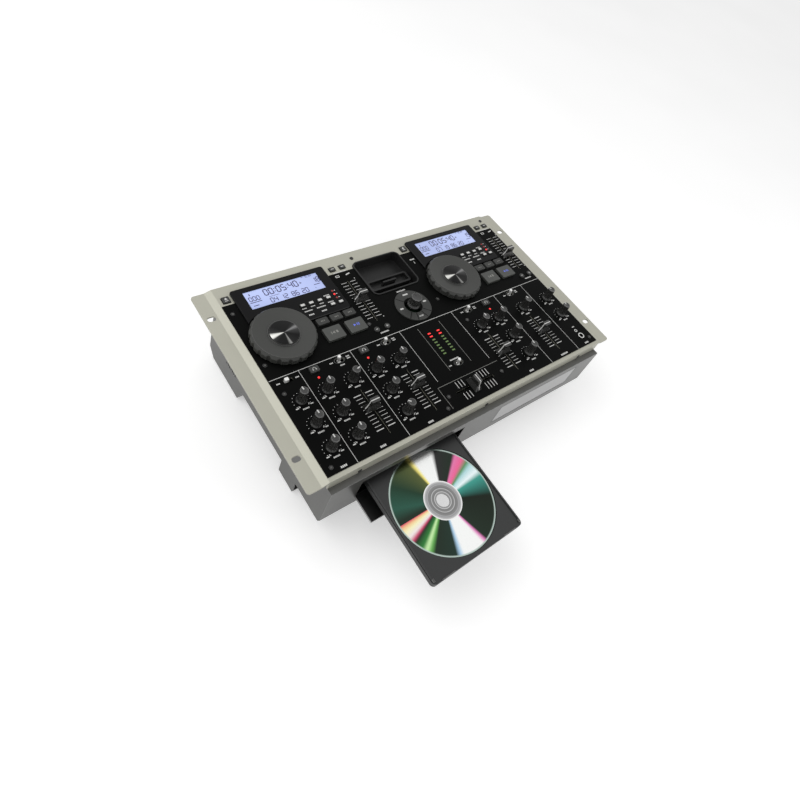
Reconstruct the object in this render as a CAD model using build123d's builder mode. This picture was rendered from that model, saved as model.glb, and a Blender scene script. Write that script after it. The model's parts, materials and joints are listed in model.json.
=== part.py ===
from build123d import *
import math
import os

# Rack-mount twin disc player and mixer console.
# Origin: centre of the rack-slot pattern, in the top face of the two ears.
# +X to the operator's right, +Y to the back, +Z up.

os.makedirs("parts", exist_ok=True)

# ---- top panel ---------------------------------------------------------
panel_w = 482.6
panel_d = 265.9
panel_t = 2.0
panel_corner_r = 3.5
plateau_w = 434.8
bevel_w = 8.0
bevel_rise = 3.0
slot_pitch_x = 465.1
slot_pitch_y = 190.5
slot_w = 6.6
slot_len = 10.2
lip_drop = 14.0

# ---- black overlay plate -----------------------------------------------
plate_t = 0.8
plate_side_gap = 0.4
plate_back_margin = 28.4
plate_front_margin = 5.0

# ---- housing under the panel -------------------------------------------
housing_w = 434.0
sheet_t = 1.2
housing_front_step = 7.7
housing_back_margin = 13.0
front_depth = 76.0
rear_depth = 97.0
rear_block_len = 76.0
foot_h = 4.0
foot_r = 9.0
leg_w = 26.0
leg_len = 30.0
leg_y = -75.0
leg_t = 2.0

# ---- decks -------------------------------------------------------------
deck_pitch = 260.0
jog_x = -45.0
jog_y = 39.0
jog_r = 38.0
jog_h = 11.0
jog_gap = 0.6
jog_cap_r = 17.0
jog_scallops = 20
display_w = 125.0
display_x = -8.7
display_y_low = 48.8
display_y_high = 121.0
display_h = 2.6
screen_w = 99.0
screen_h = 26.8
screen_y = 100.2
pitch_x = 73.7
pitch_y = 54.2
pitch_slot = 70.0

# ---- keys --------------------------------------------------------------
key_gap = 0.4
key_drop = 5.0
key_travel = 1.2
mat_t = 1.2
mat_x = 70.5
mat_w = 30.0
mat_y_low = 2.0
mat_back_gap = 0.6
big_key_w = 24.0
big_key_d = 18.7
big_key_h = 3.6
cue_x = 12.3
play_x = 43.4
big_key_y = 21.9
mid_key_w = 15.0
mid_key_d = 9.0
mid_key_h = 3.0
mid_key_y = 41.9
small_key_w = 6.6
small_key_d = 4.2
small_key_h = 1.6
band_key_w = 8.0
band_key_d = 6.0
eject_x = -78.2
eject_w = 8.6
ring_x = 1.8
ring_y = 21.5
ring_r_out = 24.5
ring_r_in = 12.4
ring_h = 1.6

# ---- mixer knobs and faders ----------------------------------------------
knob_r = 6.3
knob_top_r = 4.7
knob_h = 19.0
knob_clear = 0.6
shaft_r = 3.0
shaft_clear = 0.4
row_pitch = 30.6
row_1_y = -40.8
browse_r = 8.5
browse_h = 15.0
mixer_slot = 61.0
slot_cut_w = 2.4
mixer_slot_y = -85.4
cap_w = 20.0
cap_d = 10.0
cap_top_w = 11.0
cap_h = 14.0
stem_t = 1.4
cross_slot = 62.0
cross_y = -108.3
cross_x = 1.8
switch_y = -12.8

# ---- disc drives ---------------------------------------------------------
drive_x = 104.0
door_w = 146.0
door_h = 36.0
door_top = 21.0
door_t = 3.0
door_clear = 0.5
tray_w = 128.0
tray_len = 148.0
tray_t = 6.0
tray_out = 127.0
tray_gap = 4.0
tray_top = 32.0
disc_r = 60.0
disc_t = 1.2
disc_bore_r = 7.5
disc_seat_clear = 0.8
disc_seat_r = disc_r + disc_seat_clear
disc_seat_depth = 2.2

# ---- dock ----------------------------------------------------------------
dock_x = 1.3
dock_w = 75.5
dock_y_low = 52.5
dock_y_high = 113.0
dock_depth = 16.0
dock_wall = 1.6
dock_rim = 1.2

# ---- derived levels --------------------------------------------------------
plateau_z = bevel_rise
plate_z = plateau_z + plate_t
half_w = panel_w / 2
half_d = panel_d / 2
panel_under = plateau_z - panel_t
housing_front = -half_d - housing_front_step
housing_back = half_d - housing_back_margin
housing_top = panel_under
ledge_z = plateau_z - lip_drop
block_front = housing_back - rear_block_len
mat_y_high = housing_back - sheet_t - mat_back_gap
plate_w = plateau_w - 2 * plate_side_gap
plate_y_low = -half_d + plate_front_margin
plate_y_high = half_d - plate_back_margin
mic_x = -196.8
aux_x1 = -164.8
aux_x2 = -131.5
cd1_x1 = -98.5
cd1_x2 = -65.8
cd2_x1 = 70.0
cd2_x2 = 102.3
master_x = 151.0
phones_x = 199.5
rows = [row_1_y, row_1_y - row_pitch, row_1_y - 2 * row_pitch]

knobs = {
    "knob_mic_level": (mic_x, rows[0]),
    "knob_mic_treble": (mic_x, rows[1]),
    "knob_mic_bass": (mic_x, rows[2]),
    "knob_aux_treble": (aux_x1, rows[0]),
    "knob_aux_mid": (aux_x1, rows[1]),
    "knob_aux_bass": (aux_x1, rows[2]),
    "knob_aux_gain": (aux_x2, rows[0]),
    "knob_left_treble": (cd1_x1, rows[0]),
    "knob_left_mid": (cd1_x1, rows[1]),
    "knob_left_bass": (cd1_x1, rows[2]),
    "knob_left_gain": (cd1_x2, rows[0]),
    "knob_right_gain": (cd2_x1, rows[0]),
    "knob_right_treble": (cd2_x2, rows[0]),
    "knob_right_mid": (cd2_x2, rows[1]),
    "knob_right_bass": (cd2_x2, rows[2]),
    "knob_master_balance": (master_x, rows[0]),
    "knob_phones_mix": (phones_x, rows[0]),
    "knob_phones_level": (phones_x, rows[1]),
}

# name: centre of slot, offset of the cap along its travel at rest
mixer_faders = {
    "fader_aux": (aux_x2, mixer_slot_y, 5.5),
    "fader_left": (cd1_x2, mixer_slot_y, 8.0),
    "fader_right": (cd2_x1, mixer_slot_y, 0.5),
    "fader_master": (master_x, mixer_slot_y, 4.0),
}
pitch_faders = {
    "pitch_fader_left": (-deck_pitch / 2 + pitch_x, pitch_y, 2.5),
    "pitch_fader_right": (deck_pitch / 2 + pitch_x, pitch_y, -4.0),
}
toggles = {
    "toggle_aux": (aux_x2, switch_y),
    "toggle_left": (cd1_x2, switch_y),
    "toggle_right": (cd2_x1, switch_y),
    "toggle_master": (master_x, switch_y),
    "toggle_crossfade": (cross_x, -74.5),
}
mic_switch = (mic_x, switch_y)
toggle_r = 2.2
toggle_h = 11.0
toggle_tilt = 12.0
toggle_hole_r = 4.6
toggle_barrel_r = 2.0
monitor_keys = [(aux_x1, switch_y), (cd1_x1, switch_y), (cd2_x2, switch_y)]
monitor_key_w = 11.0
monitor_key_d = 7.6
decks = {"left": -deck_pitch / 2, "right": deck_pitch / 2}
led_r = 1.5
meter_led_w = 4.4
meter_led_d = 1.8
meter_x = (-6.2, 8.4)
meter_y = [-24.0, -28.7, -33.9, -38.4, -43.0, -47.5, -52.0, -56.5]
jack_y = -112.8
jack_r = 4.4
jack_bore_r = 3.2

small_keys = [(-2.0, 70.9), (9.7, 70.9), (21.7, 70.9), (33.6, 70.9), (33.6, 59.8), (45.2, 59.8)]
bend_keys = [(64.5, 6.9), (80.0, 6.9)]
bend_r = 3.6
band_keys = [(65.5, 112.4), (80.5, 112.4)]
mid_keys = [8.5, 27.4, 46.3]
deck_leds = [(44.4, 78.9), (44.4, 73.4), (44.4, 67.6)]
mixer_leds = [(aux_x1, -23.3), (cd1_x1, -23.3), (cd2_x2, -23.3)]

panel_screws = [(-210.5, 90.5), (-210.5, 13.8), (-69.4, 18.0), (41.5, 18.5), (-209.0, -26.5),
                (-208.5, -120.3), (-52.3, -120.3), (57.5, -25.8), (210.3, -119.5)]
cross_screws = [(cross_x - 43.5, cross_y), (cross_x + 44.5, cross_y)]
band_screws = [(-28.5, 121.5), (212.0, 123.0)]
lip_screws = [-179.0, 4.0, 179.0]
screw_r = 2.6
screw_head_h = 0.7
screw_len = 6.0


# ---- openings shared by the panel and the overlay plate --------------------
def control_openings(grow):
    """Cut every control's opening in the active sketch, larger by grow on each side."""
    for x, y in knobs.values():
        with Locations((x, y)):
            Circle(shaft_r + shaft_clear + grow)
    with Locations((ring_x, ring_y)):
        Circle(ring_r_out + key_gap + grow)
    for x, y, rest in mixer_faders.values():
        with Locations((x, y)):
            SlotOverall(mixer_slot + 2 * grow, slot_cut_w + 2 * grow, rotation=90)
    for x, y, rest in pitch_faders.values():
        with Locations((x, y)):
            SlotOverall(pitch_slot + 2 * grow, slot_cut_w + 2 * grow, rotation=90)
    with Locations((cross_x, cross_y)):
        SlotOverall(cross_slot + 2 * grow, slot_cut_w + 2 * grow)
    for x, y in toggles.values():
        with Locations((x, y)):
            SlotOverall(2 * toggle_hole_r + 2.4 + 2 * grow, 2 * toggle_r + 2.4 + 2 * grow)
    with Locations(mic_switch):
        SlotOverall(12.0 + 2 * grow, 5.0 + 2 * grow)
    with Locations(*monitor_keys):
        Rectangle(monitor_key_w + 2 * key_gap + 2 * grow, monitor_key_d + 2 * key_gap + 2 * grow)
    with Locations(*mixer_leds):
        Circle(led_r + grow)
    for x in meter_x:
        with Locations(*[(x, y) for y in meter_y]):
            Rectangle(meter_led_w + 2 * grow, meter_led_d + 2 * grow)
    with Locations((phones_x, jack_y)):
        Circle(jack_r + grow)
    with Locations((dock_x, (dock_y_low + dock_y_high) / 2)):
        RectangleRounded(dock_w + 2 * grow, dock_y_high - dock_y_low + 2 * grow, 9.0)
    for deck_x in decks.values():
        with Locations((deck_x + jog_x, jog_y)):
            Circle(shaft_r + 2.0 + grow)
        with Locations((deck_x + cue_x, big_key_y), (deck_x + play_x, big_key_y)):
            Rectangle(big_key_w + 2 * key_gap + 2 * grow, big_key_d + 2 * key_gap + 2 * grow)
        with Locations(*[(deck_x + x, mid_key_y) for x in mid_keys]):
            Rectangle(mid_key_w + 2 * key_gap + 2 * grow, mid_key_d + 2 * key_gap + 2 * grow)
        with Locations(*[(deck_x + x, y) for x, y in small_keys]):
            Rectangle(small_key_w + 2 * key_gap + 2 * grow, small_key_d + 2 * key_gap + 2 * grow)
        with Locations(*[(deck_x + x, y) for x, y in bend_keys]):
            Circle(bend_r + key_gap + grow)
        with Locations(*[(deck_x + x, y) for x, y in band_keys]):
            Rectangle(band_key_w + 2 * key_gap + 2 * grow, band_key_d + 2 * key_gap + 2 * grow)
        with Locations((deck_x + eject_x, band_keys[0][1])):
            Rectangle(eject_w + 2 * key_gap + 2 * grow, eject_w + 2 * key_gap + 2 * grow)
        with Locations(*[(deck_x + x, y) for x, y in deck_leds]):
            Circle(led_r + grow)
        with Locations((deck_x + display_x, screen_y)):
            Rectangle(screen_w + 2 * grow, screen_h + 2 * grow)


# ---- top panel: bent sheet with ears, raised middle and front lip ------------
with BuildPart() as top_panel:
    with BuildSketch(Plane.XZ.offset(-half_d)) as panel_profile:
        with BuildLine():
            Polyline((-half_w, 0), (-plateau_w / 2 - bevel_w, 0), (-plateau_w / 2, plateau_z),
                     (plateau_w / 2, plateau_z), (plateau_w / 2 + bevel_w, 0), (half_w, 0),
                     (half_w, -panel_t), (plateau_w / 2 + bevel_w + 0.6, -panel_t),
                     (plateau_w / 2 + 0.6, panel_under), (-plateau_w / 2 - 0.6, panel_under),
                     (-plateau_w / 2 - bevel_w - 0.6, -panel_t), (-half_w, -panel_t), close=True)
        make_face()
    extrude(amount=panel_d)
    corner_edges = top_panel.edges().filter_by(Axis.Z).filter_by(
        lambda e: abs(abs(e.center().X) - half_w) < 0.1)
    fillet(corner_edges, panel_corner_r)
    with BuildSketch(Plane.XZ.offset(half_d)):
        with Locations((0, (plateau_z + ledge_z) / 2)):
            Rectangle(plateau_w, lip_drop)
    extrude(amount=-panel_t)
    with BuildSketch(Plane.XY.offset(-lip_drop)):
        with GridLocations(slot_pitch_x, slot_pitch_y, 2, 2):
            SlotOverall(slot_len, slot_w)
        control_openings(0.3)
        with Locations(*panel_screws, *cross_screws, *band_screws):
            Circle(1.5)
    extrude(amount=2 * lip_drop, mode=Mode.SUBTRACT)
    with BuildSketch(Plane.XZ.offset(half_d)):
        with Locations(*[(x, plateau_z - 10.0) for x in lip_screws]):
            Circle(1.5)
    extrude(amount=-panel_t, mode=Mode.SUBTRACT)
top_panel.part.label = "top_panel"
export_step(top_panel.part, "parts/top_panel.step")

# ---- black overlay plate ------------------------------------------------------
with BuildPart() as overlay_plate:
    with BuildSketch(Plane.XY.offset(plateau_z)):
        with Locations((0, (plate_y_low + plate_y_high) / 2)):
            Rectangle(plate_w, plate_y_high - plate_y_low)
    extrude(amount=plate_t)
    with BuildSketch(Plane.XY.offset(plateau_z - 1)):
        control_openings(0)
        with Locations(*panel_screws, *cross_screws):
            Circle(1.5)
    extrude(amount=plate_t + 2, mode=Mode.SUBTRACT)
overlay_plate.part.label = "overlay_plate"
export_step(overlay_plate.part, "parts/overlay_plate.step")

# ---- housing: folded sheet, open at the top, stepped underneath -----------------
door_top_z = -door_top
door_low_z = door_top_z - door_h
door_y = housing_front
side_outline = [(housing_front, ledge_z), (housing_front, -front_depth + 6.0),
                (housing_front + 3.0, -front_depth), (block_front - 8.0, -front_depth),
                (block_front, -rear_depth), (housing_back - 12.0, -rear_depth),
                (housing_back, -rear_depth + 12.0), (housing_back, housing_top),
                (-half_d + panel_t, housing_top), (-half_d + panel_t, ledge_z)]
inner_front = housing_front + sheet_t
inner_outline = [(inner_front, ledge_z - sheet_t), (inner_front, -front_depth + 6.0),
                 (inner_front + 2.4, -front_depth + sheet_t),
                 (block_front - 8.0 + sheet_t, -front_depth + sheet_t),
                 (block_front + sheet_t, -rear_depth + sheet_t),
                 (housing_back - 12.0 - 0.6, -rear_depth + sheet_t),
                 (housing_back - sheet_t, -rear_depth + 12.0 + 0.6),
                 (housing_back - sheet_t, housing_top + 1),
                 (-half_d + panel_t + sheet_t, housing_top + 1),
                 (-half_d + panel_t + sheet_t, ledge_z - sheet_t)]
vent_slots = 7
leg_x = housing_w / 2 - leg_w / 2
with BuildPart() as housing:
    with BuildSketch(Plane.YZ):
        with BuildLine():
            Polyline(*side_outline, close=True)
        make_face()
    extrude(amount=housing_w / 2, both=True)
    with BuildSketch(Plane.YZ):
        with BuildLine():
            Polyline(*inner_outline, close=True)
        make_face()
    extrude(amount=housing_w / 2 - sheet_t, both=True, mode=Mode.SUBTRACT)
    # channel legs under the front corners
    with BuildSketch(Plane.XZ.offset(-leg_y - leg_len / 2)):
        for side in (-1, 1):
            with BuildLine():
                Polyline((side * housing_w / 2, -front_depth),
                         (side * housing_w / 2, -rear_depth),
                         (side * (housing_w / 2 - leg_w), -rear_depth),
                         (side * (housing_w / 2 - leg_w), -front_depth),
                         (side * (housing_w / 2 - leg_w + leg_t), -front_depth),
                         (side * (housing_w / 2 - leg_w + leg_t), -rear_depth + leg_t),
                         (side * (housing_w / 2 - leg_t), -rear_depth + leg_t),
                         (side * (housing_w / 2 - leg_t), -front_depth), close=True)
            make_face()
    extrude(amount=leg_len)
    # drive openings in the front wall
    with BuildSketch(Plane.XZ.offset(-housing_front)):
        with Locations((-drive_x, door_top_z - door_h / 2), (drive_x, door_top_z - door_h / 2)):
            Rectangle(door_w, door_h)
    extrude(amount=-6 * sheet_t, mode=Mode.SUBTRACT)
    # cooling slots in both side walls of the rear block
    with BuildSketch(Plane.YZ.offset(-housing_w)):
        with Locations((block_front + 22.0, -58.0)):
            with GridLocations(3.6, 1, vent_slots, 1):
                SlotOverall(22.0, 1.8, rotation=90)
    extrude(amount=2 * housing_w, mode=Mode.SUBTRACT)
    # screw holes behind the lip
    with BuildSketch(Plane.XZ.offset(half_d)):
        with Locations(*[(x, plateau_z - 10.0) for x in lip_screws]):
            Circle(1.5)
    extrude(amount=-2 * panel_t - sheet_t, mode=Mode.SUBTRACT)
    # socket openings in the back wall
    with BuildSketch(Plane.XZ.offset(-housing_back)):
        with Locations(*[(-150.0 + 22.0 * i, z) for i in range(8) for z in (-40.0, -58.0)]):
            Circle(4.4)
        with Locations((150.0, -52.0)):
            Rectangle(27.4, 19.8)
    extrude(amount=2 * sheet_t, both=True, mode=Mode.SUBTRACT)
housing.part.label = "housing"
export_step(housing.part, "parts/housing.step")

# ---- rubber feet ------------------------------------------------------------------------
feet_at = [(-leg_x, leg_y), (leg_x, leg_y), (-leg_x, housing_back - 28.0), (leg_x, housing_back - 28.0)]
with BuildPart() as feet:
    with BuildSketch(Plane.XY.offset(-rear_depth)):
        with Locations(*feet_at):
            Circle(foot_r)
    extrude(amount=-foot_h, taper=10)
feet.part.label = "feet"
export_step(feet.part, "parts/feet.step")

# ---- raised display frames with their panes ----------------------------------------
display_y = (display_y_low + display_y_high) / 2
display_len = display_y_high - display_y_low
with BuildPart() as display_frames:
    with BuildSketch(Plane.XY.offset(plate_z)):
        for deck_x in decks.values():
            with Locations((deck_x + display_x, display_y)):
                RectangleRounded(display_w, display_len, 3.5)
        for deck_x in decks.values():
            with Locations((deck_x + jog_x, jog_y)):
                Circle(jog_r + 2.2, mode=Mode.SUBTRACT)
    extrude(amount=display_h)
    chamfer(display_frames.faces().sort_by(Axis.Z)[-2:].edges(), 0.8)
    # back of the frame reaches down to the silver band behind the overlay plate
    with BuildSketch(Plane.XY.offset(plateau_z)):
        for deck_x in decks.values():
            with Locations((deck_x + display_x, (plate_y_high + 0.4 + display_y_high) / 2)):
                Rectangle(display_w - 7.0, display_y_high - plate_y_high - 0.4)
    extrude(amount=plate_t + 0.2)
    with BuildSketch(Plane.XY.offset(plateau_z - 1)):
        for deck_x in decks.values():
            with Locations((deck_x + display_x, screen_y)):
                Rectangle(screen_w, screen_h)
            with Locations(*[(deck_x + x, y) for x, y in small_keys]):
                Rectangle(small_key_w + 2 * key_gap, small_key_d + 2 * key_gap)
            with Locations(*[(deck_x + x, y) for x, y in deck_leds]):
                Circle(led_r)
    extrude(amount=display_h + plate_t + 2, mode=Mode.SUBTRACT)
display_frames.part.label = "display_frames"
export_step(display_frames.part, "parts/display_frames.step")

with BuildPart() as display_panes:
    with BuildSketch(Plane.XY.offset(panel_under)):
        for deck_x in decks.values():
            with Locations((deck_x + display_x, screen_y)):
                Rectangle(screen_w - 0.2, screen_h - 0.2)
    extrude(amount=plate_z + display_h - 1.0 - panel_under)
display_panes.part.label = "display_panes"
export_step(display_panes.part, "parts/display_panes.step")

# ---- indicator lamps ------------------------------------------------------------------
with BuildPart() as indicator_lamps:
    with BuildSketch(Plane.XY.offset(panel_under - 3.0)):
        with Locations(*mixer_leds):
            Circle(led_r - 0.1)
        for x in meter_x:
            with Locations(*[(x, y) for y in meter_y]):
                Rectangle(meter_led_w - 0.2, meter_led_d - 0.2)
    extrude(amount=plate_z + 0.3 - panel_under + 3.0)
    with BuildSketch(Plane.XY.offset(panel_under - 3.0)):
        for deck_x in decks.values():
            with Locations(*[(deck_x + x, y) for x, y in deck_leds]):
                Circle(led_r - 0.1)
    extrude(amount=plate_z + display_h + 0.4 - panel_under + 3.0)
indicator_lamps.part.label = "indicator_lamps"
export_step(indicator_lamps.part, "parts/indicator_lamps.step")

# ---- screws -----------------------------------------------------------------------------
with BuildPart() as screws:
    with BuildSketch(Plane.XY.offset(plate_z)):
        with Locations(*panel_screws, *cross_screws):
            Circle(screw_r)
    extrude(amount=screw_head_h, taper=20)
    with BuildSketch(Plane.XY.offset(plate_z)):
        with Locations(*panel_screws, *cross_screws):
            Circle(1.4)
    extrude(amount=-screw_len)
    with BuildSketch(Plane.XY.offset(plateau_z)):
        with Locations(*band_screws):
            Circle(screw_r)
    extrude(amount=screw_head_h, taper=20)
    with BuildSketch(Plane.XY.offset(plateau_z)):
        with Locations(*band_screws):
            Circle(1.4)
    extrude(amount=-screw_len)
    with BuildSketch(Plane.XZ.offset(half_d)):
        with Locations(*[(x, plateau_z - 10.0) for x in lip_screws]):
            Circle(screw_r)
    extrude(amount=screw_head_h, taper=20)
    with BuildSketch(Plane.XZ.offset(half_d)):
        with Locations(*[(x, plateau_z - 10.0) for x in lip_screws]):
            Circle(1.4)
    extrude(amount=-screw_len)
screws.part.label = "screws"
export_step(screws.part, "parts/screws.step")

# ---- main circuit board under the panel ---------------------------------------------------
board_top = -14.0
board_t = 1.6
with BuildPart() as circuit_board:
    with BuildSketch(Plane.XY.offset(board_top)):
        with Locations((0, -10.0)):
            Rectangle(housing_w - 14.0, 200.0)
        with Locations((dock_x, (dock_y_low + dock_y_high) / 2)):
            Rectangle(dock_w + 8.0, dock_y_high - dock_y_low + 8.0, mode=Mode.SUBTRACT)
    extrude(amount=-board_t)
    # standoffs up to the panel
    with BuildSketch(Plane.XY.offset(board_top)):
        with Locations((-205.0, 80.0), (38.0, 40.0), (-205.0, -100.0), (200.0, -60.0 - 30.0), (24.0, -84.0)):
            Circle(3.0)
    extrude(amount=panel_under - board_top)
circuit_board.part.label = "circuit_board"
export_step(circuit_board.part, "parts/circuit_board.step")

# ---- drive frames: the channels that the trays run in ---------------------------------------
frame_wall = 2.0
frame_in_w = tray_w + 1.0
frame_y_front = housing_front + door_t + door_clear + 1.0
frame_len = tray_len + 24.0
tray_top_z = -tray_top
tray_low_z = tray_top_z - tray_t
with BuildPart() as drive_frames:
    with BuildSketch(Plane.XZ.offset(-frame_y_front)):
        for x in (-drive_x, drive_x):
            with Locations((x, (tray_low_z - 0.5 - frame_wall + tray_top_z + 14.0) / 2)):
                Rectangle(frame_in_w + 2 * frame_wall, tray_t + 0.5 + frame_wall + 14.0)
            with Locations((x, (tray_low_z - 0.5 + tray_top_z + 14.0) / 2 + 0.5)):
                Rectangle(frame_in_w, tray_t + 0.5 + 14.0 + 1.0, mode=Mode.SUBTRACT)
    extrude(amount=-frame_len)
    # pillars down to the housing floor
    with BuildSketch(Plane.XY.offset(tray_low_z - 0.5 - frame_wall)):
        for x in (-drive_x, drive_x):
            with Locations((x, frame_y_front + frame_len / 2)):
                with GridLocations(tray_w - 20.0, frame_len - 24.0, 2, 2):
                    Circle(4.0)
    extrude(amount=-(front_depth - sheet_t + tray_low_z - 0.5 - frame_wall))
drive_frames.part.label = "drive_frames"
export_step(drive_frames.part, "parts/drive_frames.step")

# ---- trays --------------------------------------------------------------------------------------
for name, x, slide_out in (("tray_left", -drive_x, tray_out), ("tray_right", drive_x, 0.0)):
    tray_front = housing_front + door_t + door_clear + tray_gap - slide_out
    with BuildPart() as tray:
        with BuildSketch(Plane.XY.offset(tray_low_z)):
            with Locations((x, tray_front + tray_len / 2)):
                RectangleRounded(tray_w, tray_len, 5.0)
        extrude(amount=tray_t)
        # seats for a full-size and a small disc
        with BuildSketch(Plane.XY.offset(tray_top_z)):
            with Locations((x, tray_front + disc_seat_r + 4.0)):
                Circle(disc_seat_r)
        extrude(amount=-disc_seat_depth, mode=Mode.SUBTRACT)
        with BuildSketch(Plane.XY.offset(tray_top_z - disc_seat_depth)):
            with Locations((x, tray_front + disc_seat_r + 4.0)):
                Circle(40.5)
        extrude(amount=-1.4, mode=Mode.SUBTRACT)
        # opening for the spindle and the reading head
        with BuildSketch(Plane.XY.offset(tray_low_z)):
            with Locations((x, tray_front + disc_seat_r + 4.0)):
                Circle(19.0)
            with Locations((x, tray_front + disc_seat_r + 4.0 + 30.0)):
                SlotOverall(60.0, 26.0, rotation=90)
        extrude(amount=tray_t, mode=Mode.SUBTRACT)
    tray.part.label = name
    export_step(tray.part, "parts/" + name + ".step")

# ---- disc lying in the open tray ------------------------------------------------------------------
disc_y = housing_front + door_t + door_clear + tray_gap - tray_out + disc_seat_r + 4.0
disc_z = tray_top_z - disc_seat_depth
with BuildPart() as disc:
    with BuildSketch(Plane.XY.offset(disc_z)):
        with Locations((-drive_x, disc_y)):
            Circle(disc_r)
            Circle(disc_bore_r, mode=Mode.SUBTRACT)
    extrude(amount=disc_t)
disc.part.label = "disc"
export_step(disc.part, "parts/disc.step")

# ---- tray doors: hinged at the bottom edge of their openings ---------------------------------------
hinge_r = 1.5
hinge_z = door_low_z + hinge_r + door_clear
hinge_y = housing_front + hinge_r + 0.2
for name, x, is_open in (("door_left", -drive_x, True), ("door_right", drive_x, False)):
    leaf_w = door_w - 2 * door_clear
    leaf_h = door_h - 2 * door_clear
    with BuildPart() as door:
        if is_open:
            # swung forward and down by a quarter turn
            with BuildSketch(Plane.XY.offset(hinge_z - (hinge_y - housing_front))):
                with Locations((x, hinge_y - (leaf_h - hinge_r) / 2)):
                    Rectangle(leaf_w, leaf_h - hinge_r)
            extrude(amount=door_t)
        else:
            with BuildSketch(Plane.XZ.offset(-housing_front)):
                with Locations((x, hinge_z + (leaf_h - hinge_r) / 2)):
                    Rectangle(leaf_w, leaf_h - hinge_r)
            extrude(amount=-door_t)
        with BuildSketch(Plane.YZ.offset(x - leaf_w / 2)):
            with Locations((hinge_y, hinge_z)):
                Circle(hinge_r)
        extrude(amount=leaf_w)
    door.part.label = name
    export_step(door.part, "parts/" + name + ".step")

# ---- jog wheels --------------------------------------------------------------------------------------
for name, deck_x in decks.items():
    cx = deck_x + jog_x
    with BuildPart() as jog:
        base = plate_z + jog_gap
        with BuildSketch(Plane.XZ.offset(-jog_y)):
            with BuildLine():
                Polyline((cx, base), (cx + jog_r - 3.0, base), (cx + jog_r, base + 1.6),
                         (cx + jog_r, base + jog_h - 3.4), (cx + jog_r - 2.6, base + jog_h),
                         (cx + jog_cap_r + 4.4, base + jog_h - 2.2), (cx + jog_cap_r, base + jog_h - 2.6),
                         (cx + jog_cap_r, base + jog_h - 0.8), (cx, base + jog_h - 0.8), close=True)
            make_face()
        revolve(axis=Axis((cx, jog_y, 0), (0, 0, 1)), revolution_arc=360)
        with BuildSketch(Plane.XY.offset(base + jog_h + 1)):
            with Locations((cx, jog_y)):
                with PolarLocations(jog_r + 2.0, jog_scallops):
                    Circle(3.4)
        extrude(amount=-jog_h - 2, mode=Mode.SUBTRACT)
        with BuildSketch(Plane.XY.offset(base)):
            with Locations((cx, jog_y)):
                Circle(shaft_r)
        extrude(amount=-jog_h)
    jog.part.label = "jog_wheel_" + name
    export_step(jog.part, "parts/jog_wheel_" + name + ".step")


# ---- knobs ----------------------------------------------------------------------------------------------
def turned_knob(x, y, base, r_low, r_top, height):
    """A skirted knob and its shaft, turned about its own axis."""
    with BuildPart() as knob:
        with BuildSketch(Plane.XZ.offset(-y)):
            with BuildLine():
                Polyline((x, base), (x + r_low, base), (x + r_low, base + 1.6),
                         (x + r_low - 0.9, base + 3.0), (x + r_top, base + height - 0.6),
                         (x + r_top - 0.6, base + height), (x, base + height), close=True)
            make_face()
        revolve(axis=Axis((x, y, 0), (0, 0, 1)), revolution_arc=360)
        with BuildSketch(Plane.XY.offset(base)):
            with Locations((x, y)):
                Circle(shaft_r)
        extrude(amount=-8.0)
    return knob


for name, (x, y) in knobs.items():
    mixer_knob = turned_knob(x, y, plate_z + knob_clear, knob_r, knob_top_r, knob_h)
    mixer_knob.part.label = name
    export_step(mixer_knob.part, "parts/" + name + ".step")

browse_knob = turned_knob(ring_x, ring_y, plate_z + ring_h + knob_clear, browse_r, browse_r - 1.4, browse_h)
browse_knob.part.label = "knob_browse"
export_step(browse_knob.part, "parts/knob_browse.step")


# ---- fader caps -------------------------------------------------------------------------------------------
def fader_cap(x, y, across):
    """A waisted cap on a flat stem; across is the plane direction that runs over the slot."""
    base = plate_z + knob_clear
    cap_plane = Plane(origin=(x, y, base), x_dir=across, z_dir=(0, 0, 1))
    with BuildPart() as cap:
        with BuildSketch(cap_plane):
            RectangleRounded(cap_w, cap_d, 1.2)
        with BuildSketch(cap_plane.offset(cap_h * 0.45)):
            RectangleRounded(cap_w - 6.0, cap_d - 5.0, 1.0)
        with BuildSketch(cap_plane.offset(cap_h)):
            RectangleRounded(cap_top_w, cap_d - 3.4, 1.0)
        loft(ruled=True)
        with BuildSketch(cap_plane):
            Rectangle(stem_t, 6.0)
        extrude(amount=-9.0)
    return cap


for name, (x, y, rest) in list(mixer_faders.items()) + list(pitch_faders.items()):
    slider = fader_cap(x, y + rest, (1, 0, 0))
    slider.part.label = name
    export_step(slider.part, "parts/" + name + ".step")
crossfader = fader_cap(cross_x - 4.0, cross_y, (0, 1, 0))
crossfader.part.label = "crossfader"
export_step(crossfader.part, "parts/crossfader.step")

# ---- toggle switches: bat levers that swing across ----------------------------------------------------------
toggle_pivot_z = plate_z - 3.0
for name, (x, y) in toggles.items():
    lean = Plane(origin=(x, y, toggle_pivot_z), x_dir=(0, 1, 0),
                 z_dir=(-math.sin(math.radians(toggle_tilt)), 0, math.cos(math.radians(toggle_tilt))))
    with BuildPart() as lever:
        with BuildSketch(lean):
            Circle(toggle_r * 0.62)
        with BuildSketch(lean.offset(toggle_h)):
            Circle(toggle_r)
        loft()
        with BuildSketch(lean.offset(toggle_h)):
            Circle(toggle_r)
        extrude(amount=1.2, taper=30)
        # round barrel that the lever swings on
        with Locations(Location((x, y, toggle_pivot_z), (90, 0, 0))):
            Cylinder(toggle_barrel_r, 2 * toggle_r)
    lever.part.label = name
    export_step(lever.part, "parts/" + name + ".step")

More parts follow.
